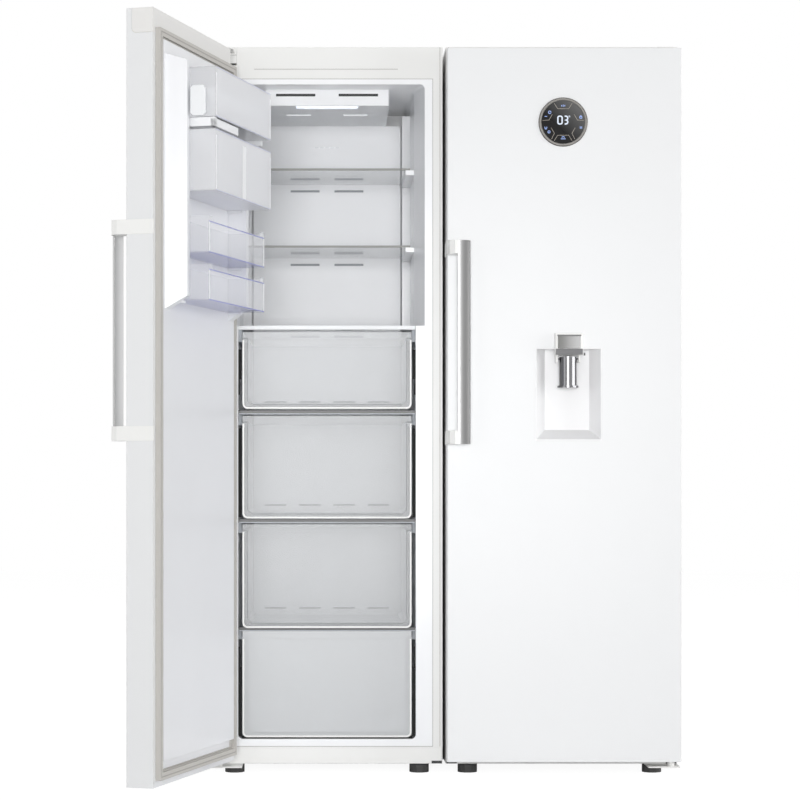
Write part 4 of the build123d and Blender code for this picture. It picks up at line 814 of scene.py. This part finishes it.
class MakeDispenserTrim(bpy.types.Operator):
    """Brushed plate with a painted reflection across its width, shaded band and sensor dot of the dispenser
    """
    bl_idname = "refrigerator.make_dispenser_trim"
    bl_label = "Dispenser trim"

    def execute(self, context):
        metal = context.scene.refrigerator_metals
        plastics = context.scene.refrigerator_plastics
        low, high = (Vector(corner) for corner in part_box("dispenser_head"))
        middle = (low.x + high.x) / 2
        dress(moulded_plastic("moulded_head_abs", plastics.moulded, 0.35), "dispenser_head")
        # Painted reflection: the plate turns from dark to bright across its width.
        brushed = painted_reflection_metal("steel_plate_painted_reflection", metal.plate, metal.plate_far, 1.0, 0.36)
        top = high.z - 4.0 * MM
        plate = boxes("dispenser_plate", [(
            (middle - 28.5 * MM, low.y - 0.5 * MM, top - 34.2 * MM),
            (middle + 28.5 * MM, low.y - 0.02 * MM, top - 0.3 * MM),
        )], brushed, 0.2)
        band_top = top - 34.5 * MM
        shaded = moulded_plastic("shaded_grey_polyamide", linear("5E5E60")[:3], 0.4)
        front = low.y + 1.5 * MM
        band = boxes("dispenser_band", [(
            (middle - 34.0 * MM, front - 0.6 * MM, band_top - 15.4 * MM),
            (middle + 34.0 * MM, front - 0.02 * MM, band_top - 0.4 * MM),
        )], shaded, 0.2)
        niche_high = Vector(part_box("dispenser_recess")[1])
        dot = boxes("dispenser_sensor", [(
            (niche_high.x - 41.0 * MM, niche_high.y - 3.0 * MM, niche_high.z - 16.0 * MM),
            (niche_high.x - 37.0 * MM, niche_high.y - 2.1 * MM, niche_high.z - 9.0 * MM),
        )], shaded, 0.3)
        edge = boxes("dispenser_plate_edge", [(
            (middle - 30.0 * MM, low.y - 0.7 * MM, top - 3.2 * MM),
            (middle + 30.0 * MM, low.y - 0.02 * MM, top + 0.4 * MM),
        )], shaded, 0.3)
        for piece in (plate, band, dot, edge):
            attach(piece, "fridge_door")
        return {"FINISHED"}


# ---------------------------------------------------------------------------
# Beads, strips and small marks
# ---------------------------------------------------------------------------

class MakeDrawerBeads(bpy.types.Operator):
    """Painted highlight round the front rim of each clear drawer, a white bead, and the shaded slots in its
    back
    """
    bl_idname = "refrigerator.make_drawer_beads"
    bl_label = "Drawer beads"

    def execute(self, context):
        s = context.scene.refrigerator_clear
        plastics = context.scene.refrigerator_plastics
        # Painted highlight: an opaque white bead stands in for the light caught along the clear front rim.
        bright = moulded_plastic("rim_painted_highlight", plastics.moulded, 0.3)
        shaded = moulded_plastic("shaded_drawer_slot", plastics.shade, 0.5)
        slot_half, slot_low, slot_high = 29.6 * MM, 28.4 * MM, 32.6 * MM
        slot_centres = (-140.0, -46.7, 46.7, 140.0)
        for number in range(1, 5):
            name = f"drawer_{number}"
            low, high = (Vector(corner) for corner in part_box(name))
            middle = (low + high) / 2

            def on_front(point, depth):
                return Vector((point[0], low.y - depth, point[1]))

            bead = s.bead * MM
            half, foot, radius = (high.x - low.x - bead) / 2, low.z + bead / 2, 10.7 * MM
            left = arc((middle.x - half + radius, foot + radius), radius, 180, 270, 6)
            right = arc((middle.x + half - radius, foot + radius), radius, 270, 360, 6)
            head = high.z - 20.0 * MM
            outline = [(middle.x - half, head), *left, *right, (middle.x + half, head)]
            rim = ribbons(f"{name}_beads", [(outline, False)], bead, 0.6 * MM, on_front, bright)
            slots = boxes(f"{name}_slots", [(
                (middle.x + x * MM - slot_half, high.y - 2.4 * MM, low.z + slot_low),
                (middle.x + x * MM + slot_half, high.y - 0.4 * MM, low.z + slot_high),
            ) for x in slot_centres], shaded, 0.2)
            for piece in (rim, slots):
                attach(piece, name)
        return {"FINISHED"}


class MakeBinBeads(bpy.types.Operator):
    """Painted light on the freezer door's bins and ice maker: rails where light gathers in the clear rim
    edges, pale strips as highlights on the corners, and the housing's pale slide
    """
    bl_idname = "refrigerator.make_bin_beads"
    bl_label = "Bin beads"

    def execute(self, context):
        s = context.scene.refrigerator_clear
        plastics = context.scene.refrigerator_plastics
        violet = moulded_plastic("gathered_edge_polystyrene", s.cut_edge, 0.25, coat=0.3)
        faint = moulded_plastic("rolled_edge_polystyrene", s.rim, 0.3)
        pale = moulded_plastic("frosted_corner_polystyrene", plastics.liner, 0.4)
        bead = s.bead * 0.6 * MM
        rows = [(pair, "freezer_door", f"door_bin_{i + 1}") for i, pair in enumerate(
            closed_boxes("freezer_door_bins"))]
        rows += [(closed_boxes("ice_bucket")[0], "ice_bucket", "ice_bucket")]
        rows += [(closed_boxes("ice_maker_housing")[0], "freezer_door", "ice_housing")]
        edge = 0.3 * MM
        for (low, high), body, name in rows:
            # The rails along each front's top and bottom edges stand for the rims, with the light that
            # gathers in their clear edges painted in: violet on the door bins, faint lilac on the bucket and
            # housing.
            rim, drop = (violet, 12.0 * MM) if name.startswith("door_bin") else (faint, 0)
            rails = [(
                (low.x + bead, high.y - edge, level - bead / 2),
                (high.x - bead, high.y + edge, level + bead / 2),
            ) for level in (low.z + bead / 2, high.z - bead / 2 - drop)]
            rims = swung(boxes(f"{name}_edges", rails, rim, 0.2))
            # Painted highlight: pale strips on the two rounded corners of each front; the bucket also has a
            # pale strip down its middle.
            places = [(high.x - 5.0 * MM, 3.5 * MM), (low.x + 5.0 * MM, 3.5 * MM)]
            if body == "ice_bucket":
                places.append(((low.x + high.x) / 2, 13.0 * MM))
            strips = [(
                (x - half, high.y - edge, low.z + bead), (x + half, high.y + edge, high.z - 14.0 * MM)
            ) for x, half in places]
            corners = swung(boxes(f"{name}_strips", strips, pale, 0.2))
            for piece in (rims, corners):
                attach(piece, body)
        low, high = closed_boxes("ice_maker_housing")[0]
        level = low.z - 22.0 * MM
        rails = [
            ((high.x - 180.0 * MM, high.y - 16.0 * MM, level),
             (high.x - 4.0 * MM, high.y - 4.0 * MM, low.z - 3.0 * MM)),
            ((high.x - 20.0 * MM, low.y + 8.0 * MM, level),
             (high.x - 4.0 * MM, high.y - 4.0 * MM, low.z - 0.2 * MM)),
            ((low.x + 4.0 * MM, low.y + 8.0 * MM, level + 8.0 * MM),
             (low.x + 12.0 * MM, high.y - 20.0 * MM, low.z - 0.2 * MM)),
        ]
        slide = swung(boxes("ice_housing_slide", rails, pale, 2.5))
        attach(slide, "freezer_door")
        return {"FINISHED"}


class MakeRunnerStrips(bpy.types.Operator):
    """Painted shade: black strips in the gaps beside the drawers, and a painted shadow strip under them"""
    bl_idname = "refrigerator.make_runner_strips"
    bl_label = "Runner strips"

    def execute(self, context):
        s = context.scene.refrigerator_plastics
        # Painted shade: a darker copy of the dark parts' colour, put in the gaps where there is only shade.
        dark = moulded_plastic("painted_gap_shade", tuple(c * 0.3 for c in s.dark), 0.8)
        low, high = (Vector(corner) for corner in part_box("drawer_runners"))
        boxes_of = {name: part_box(name) for name in ("drawer_1", "drawer_2", "drawer_4")}
        corners = []
        for name, drop, height, width in (
            ("drawer_1", 44.0, 76.0, 8.2), ("drawer_1", 120.0, 40.0, 4.0), ("drawer_2", 31.0, 228.0, 8.2),
            ("drawer_4", 40.0, 53.0, 4.0), ("drawer_4", 93.0, 176.0, 8.2),
        ):
            top = boxes_of[name][1][2] - drop * MM
            for near, far in ((low.x, low.x + width * MM), (high.x - width * MM, high.x)):
                corners.append(((near, low.y - 32.0 * MM, top - height * MM), (far, low.y - 29.0 * MM, top)))
        floor = boxes_of["drawer_4"][0][2] - 4.0 * MM
        front = boxes_of["drawer_4"][0][1] + 6.0 * MM
        corners.append((
            (low.x + 9.0 * MM, front, floor + 0.2 * MM),
            (high.x - 9.0 * MM, front + 2.0 * MM, floor + 7.0 * MM),
        ))
        piece = boxes("runner_strips", corners, dark, 0.4)
        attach(piece, "cabinets")
        frosted = moulded_plastic("frosted_trim_foot", s.runner, 0.4)
        feet = [(
            (low.x + 1.0 * MM, low.y - 0.4 * MM, low.z), (high.x - 1.0 * MM, low.y, low.z + 2.8 * MM)
        ) for low, high in group_boxes("divider_trims")[1:]]
        foot = boxes("trim_feet", feet, frosted, 0.15)
        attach(foot, "cabinets")
        return {"FINISHED"}


class MakeSlotInserts(bpy.types.Operator):
    """Painted shade behind the air slots and in the fan box's front slots, and painted light on the glowing
    pale baffles in the return slots and intakes
    """
    bl_idname = "refrigerator.make_slot_inserts"
    bl_label = "Slot inserts"

    def execute(self, context):
        s = context.scene.refrigerator_plastics
        low, high = (Vector(corner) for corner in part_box("freezer_duct_cover"))
        middle = (low.x + high.x) / 2
        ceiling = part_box("freezer_fan_housing")[1][2]
        behind = (low.y + 3.05 * MM, low.y + 4.0 * MM)

        def rows(drops, centres, half, tall, y):
            return [(
                (middle + (x - half) * MM, y[0], ceiling - (drop + tall) * MM),
                (middle + (x + half) * MM, y[1], ceiling - (drop - tall) * MM),
            ) for drop in drops for x in centres]

        # Painted shade: grey pieces behind the air slots stand where there is only shade.
        grey = moulded_plastic("shaded_air_slot", linear("A0A4A8")[:3], 0.5)
        paired = rows((187, 220, 390, 421, 598, 618), (-60, 60), 40.0, 3.6, behind)
        air = boxes("air_slot_painted_shade", paired, grey, 0.3)
        # Painted light: the pale baffles in the return slots and the intakes glow, with no lamp behind them.
        white = glowing("baffle_painted_light", linear("F4F6FA")[:3], 0.75)
        face = (low.y - 0.4 * MM, low.y + 0.4 * MM)
        returns = rows((101,), (-28, -14, 0, 14, 28), 4.6, 1.3, face)
        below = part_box("freezer_fan_housing")
        depth = below[0][1] + 150.0 * MM
        intakes = [(
            (middle + (x - 31.0) * MM, depth + 0.5 * MM, below[0][2] - 2.2 * MM),
            (middle + (x + 31.0) * MM, depth + 7.5 * MM, below[0][2] + 2.4 * MM),
        ) for x in (-75, 75)]
        pale = boxes("slot_painted_light", returns + intakes, white, 0.2)
        # Painted shade: dark pieces in the fan box's front slots.
        dark = moulded_plastic("shaded_fan_slot", s.dark, 0.5)
        front = (below[0][1] - 0.2 * MM, below[0][1] + 2.2 * MM)
        fan = boxes("fan_slot_painted_shade", rows((14.5,), (-81, 81), 50.8, 3.4, front), dark, 0.3)
        for piece in (air, pale, fan):
            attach(piece, "cabinets")
        return {"FINISHED"}


class MakeSeams(bpy.types.Operator):
    """Fold and joint lines of the frames and hinge covers, and painted shade lines on the seals"""
    bl_idname = "refrigerator.make_seams"
    bl_label = "Seams"

    def execute(self, context):
        s = context.scene.refrigerator_plastics
        groove = moulded_plastic("shaded_seam", s.groove, 0.6)
        dark = moulded_plastic("shaded_corner_clip", s.dark, 0.5)
        mouth_half, mouth_foot, mouth_head = 270.0, 44.0, 1748.0
        fold_half, top = 288.4, 1829.0
        cross_left, cross_right, cross = -186.0, 181.0, 1773.0
        clip_near, clip_far = 267.0 * MM, 293.0 * MM
        clips = []
        for name, low, high in (
            ("freezer", cabinet_low, cabinet_high), ("fridge", fridge_low, fridge_high),
        ):
            middle = (low[0] + high[0]) / 2

            def on_frame(point, depth):
                return Vector((middle + point[0] * MM, low[1] - depth * MM, low[2] + point[1] * MM))

            window = [(-mouth_half, mouth_foot), (-mouth_half, mouth_head),
                      (mouth_half, mouth_head), (mouth_half, mouth_foot)]
            lines = [(window, True), ([(cross_left, cross), (cross_right, cross)], False)]
            lines += [([(x, mouth_foot), (x, top)], False) for x in (-fold_half, fold_half)]
            seam = ribbons(f"{name}_seams", lines, 1.2, 0.12, on_frame, groove)
            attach(seam, "cabinets")
            for side in (-1, 1):
                x = sorted((middle + side * clip_near, middle + side * clip_far))
                clips.append((
                    (x[0], low[1] - 1.0 * MM, low[2] + 0.5 * MM), (x[1], low[1], low[2] + 7.5 * MM),
                ))
        corner = boxes("corner_clips", clips, dark, 0.3)
        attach(corner, "cabinets")
        covers = group_boxes("hinge_covers")
        strips = []
        for low, high in covers:
            strips.append((
                (low.x, low.y - 0.1 * MM, high.z - 20.4 * MM), (high.x, low.y, high.z - 19.6 * MM),
            ))
            strips.append((
                (low.x + 2.0 * MM, low.y + 3.0 * MM, low.z - 4.8 * MM),
                (high.x - 2.0 * MM, low.y + 5.0 * MM, low.z - 0.2 * MM),
            ))
        lines = boxes("hinge_cover_seams", strips, dark)
        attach(lines, "cabinets")
        for name, body, back in (
            ("freezer_door_gasket", "freezer_door", swung),
            ("fridge_door_gasket", "fridge_door", lambda made: made),
        ):
            low, high = closed_boxes(name)[0] if body == "freezer_door" else group_boxes(name)[0]
            middle = (low + high) / 2
            half_wide, half_tall = (high.x - low.x) / 2, (high.z - low.z) / 2
            # Painted shade: the two loops on each seal, line and fold, are darker lines where the seal is in
            # shade.
            for part, inset, width, plane in (
                ("line", 20.6 * MM, 1.6 * MM, low.y + 6.0 * MM), ("fold", 8.0 * MM, 2.4 * MM, high.y),
            ):
                def on_seal(point, depth):
                    return Vector((middle.x + point[0], plane + depth, middle.z + point[1]))

                loop = [(sx * (half_wide - inset), sz * (half_tall - inset))
                        for sx, sz in ((-1, -1), (1, -1), (1, 1), (-1, 1))]
                piece = back(ribbons(f"{name}_{part}", [(loop, True)], width, 0.12 * MM, on_seal, groove))
                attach(piece, body)
        return {"FINISHED"}


class MakeScrews(bpy.types.Operator):
    """Screws round the two back sheets"""
    bl_idname = "refrigerator.make_screws"
    bl_label = "Screws"

    def execute(self, context):
        s = context.scene.refrigerator_metals
        zinc = brushed_metal("zinc_plated_screw", s.hinge, 0.35, (1, 1, 1))
        inset, ends, gaps = 14.0 * MM, 40.0 * MM, 6
        radius, thick = 4.0 * MM, 1.2 * MM
        centres = []
        for name in ("freezer_rear_panel", "fridge_rear_panel"):
            low, high = (Vector(corner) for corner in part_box(name))
            for x in (low.x + inset, high.x - inset):
                for step in range(gaps + 1):
                    z = low.z + ends + (high.z - low.z - 2 * ends) * step / gaps
                    centres.append(Vector((x, high.y + thick / 2, z)))
        piece = discs("back_screws", centres, radius, thick, "Y", zinc, sides=20)
        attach(piece, "cabinets")
        return {"FINISHED"}


# ---------------------------------------------------------------------------
# Stage
# ---------------------------------------------------------------------------

def softbox(name, where, aim, size, power):
    """Large area light aimed at a point."""
    lamp = bpy.data.lights.new(name, "AREA")
    lamp.shape = "RECTANGLE"
    lamp.size, lamp.size_y = size
    lamp.energy = power
    made = bpy.data.objects.new(name, lamp)
    made.location = where
    made.rotation_euler = (Vector(aim) - Vector(where)).to_track_quat("-Z", "Y").to_euler()
    bpy.context.scene.collection.objects.link(made)
    return made


class MakeStage(bpy.types.Operator):
    """White floor, even sky, three softboxes and the camera"""
    bl_idname = "refrigerator.make_stage"
    bl_label = "Stage"

    def execute(self, context):
        s = context.scene.refrigerator_stage
        scene = context.scene
        middle = (cabinet_low[0] + cabinet_high[0]) / 2
        front = cabinet_low[1]

        world = bpy.data.worlds.new("even_white_sky")
        scene.world = world
        world.use_nodes = True
        tree = world.node_tree
        tree.nodes.clear()
        rays = add(tree, "ShaderNodeLightPath")
        seen = add(tree, "ShaderNodeMath", {
            0: rays.outputs["Is Camera Ray"], 1: rays.outputs["Is Glossy Ray"],
        }, operation="MAXIMUM")
        through = add(tree, "ShaderNodeMath", {
            0: seen.outputs["Value"], 1: rays.outputs["Is Transmission Ray"],
        }, operation="MAXIMUM")
        strength = add(tree, "ShaderNodeMapRange", {"Value": through.outputs["Value"], "To Min": s.sky})
        sky = add(tree, "ShaderNodeBackground", {
            "Color": (1.0, 1.0, 1.0, 1.0), "Strength": strength.outputs["Result"],
        })
        add(tree, "ShaderNodeOutputWorld", {"Surface": sky.outputs["Background"]})

        material, tree, where = new_material("white_paper_floor")
        rays = add(tree, "ShaderNodeLightPath")
        fibre = add(tree, "ShaderNodeTexNoise", {"Vector": where["Object"], "Scale": per_mm(2.0)})
        tone = add(tree, "ShaderNodeMix", {
            "Factor": fibre.outputs["Fac"], "A": linear("F4F4F4"), "B": linear("FAFAFA"),
        }, data_type="RGBA")
        paper = add(tree, "ShaderNodeBsdfDiffuse", {"Color": tone.outputs["Result"], "Roughness": 0.9})
        glow = add(tree, "ShaderNodeEmission", {"Color": (1.0, 1.0, 1.0, 1.0), "Strength": FLOOR_GLOW})
        share = add(tree, "ShaderNodeMapRange", {
            "Value": rays.outputs["Is Camera Ray"], "To Max": FLOOR_SHARE,
        })
        both = add(tree, "ShaderNodeMixShader", {
            0: share.outputs["Result"], 1: paper.outputs["BSDF"], 2: glow.outputs["Emission"],
        })
        add(tree, "ShaderNodeOutputMaterial", {"Surface": both.outputs["Shader"]})
        sheet = bmesh.new()
        bmesh.ops.create_grid(sheet, x_segments=8, y_segments=8, size=FLOOR_HALF)
        floor = mesh_object("floor", sheet, material)
        floor.location = (0.0, 0.0, cad_low[2] - 0.2 * MM)

        softbox("front", (-0.2, -8.8, 1.2), (-0.2, 0.0, 0.9), (3.6, 2.4), s.front)
        softbox("key", (-4.6, -3.0, 1.6), (-0.4, -0.4, 0.9), (2.6, 2.6), s.key)
        softbox("fill", (5.6, -1.6, 1.3), (-0.6, -0.4, 0.9), (2.4, 2.8), s.fill)

        lens = bpy.data.cameras.new("camera")
        lens.lens = s.lens
        lens.sensor_width = 36.0
        lens.shift_x, lens.shift_y = s.shift_x, s.shift_y
        lens.clip_end = 60.0
        camera = bpy.data.objects.new("camera", lens)
        camera.location = (middle, front - s.distance, s.eye_height)
        camera.rotation_euler = (math.radians(90), 0.0, 0.0)
        scene.collection.objects.link(camera)
        scene.camera = camera
        scene.view_settings.view_transform = "Standard"
        scene.cycles.transparent_max_bounces = 32
        return {"FINISHED"}


# ---------------------------------------------------------------------------
# Sidebar and run
# ---------------------------------------------------------------------------

settings = {
    "refrigerator_steel": SteelSettings,
    "refrigerator_plastics": PlasticSettings,
    "refrigerator_clear": ClearSettings,
    "refrigerator_metals": MetalSettings,
    "refrigerator_panel": PanelSettings,
    "refrigerator_stage": StageSettings,
}

operators = (
    FinishSteel, FinishPlastics, FinishClear, FinishMetals, MakeGrips, MakeDisplay, MakeRing,
    MakeDispenserTrim, MakeDrawerBeads, MakeBinBeads, MakeRunnerStrips, MakeSlotInserts, MakeSeams,
    MakeScrews, MakeStage,
)


class RefrigeratorPanel(bpy.types.Panel):
    """Sizes, colours and pieces of the refrigerator"""
    bl_idname = "VIEW3D_PT_refrigerator"
    bl_label = "Refrigerator"
    bl_space_type = "VIEW_3D"
    bl_region_type = "UI"
    bl_category = "Refrigerator"

    def draw(self, context):
        for name, group in settings.items():
            held = getattr(context.scene, name)
            column = self.layout.column(align=True)
            for key in group.__annotations__:
                column.prop(held, key)
        for operator in operators:
            self.layout.operator(operator.bl_idname)


def register():
    for name, group in settings.items():
        bpy.utils.register_class(group)
        setattr(bpy.types.Scene, name, bpy.props.PointerProperty(type=group))
    for kind in (*operators, RefrigeratorPanel):
        bpy.utils.register_class(kind)


def unregister():
    for kind in reversed((*operators, RefrigeratorPanel)):
        bpy.utils.unregister_class(kind)
    for name, group in settings.items():
        delattr(bpy.types.Scene, name)
        bpy.utils.unregister_class(group)


def main():
    register()
    for operator in operators:
        group, name = operator.bl_idname.split(".")
        getattr(getattr(bpy.ops, group), name)()


if __name__ == "__main__":
    main()
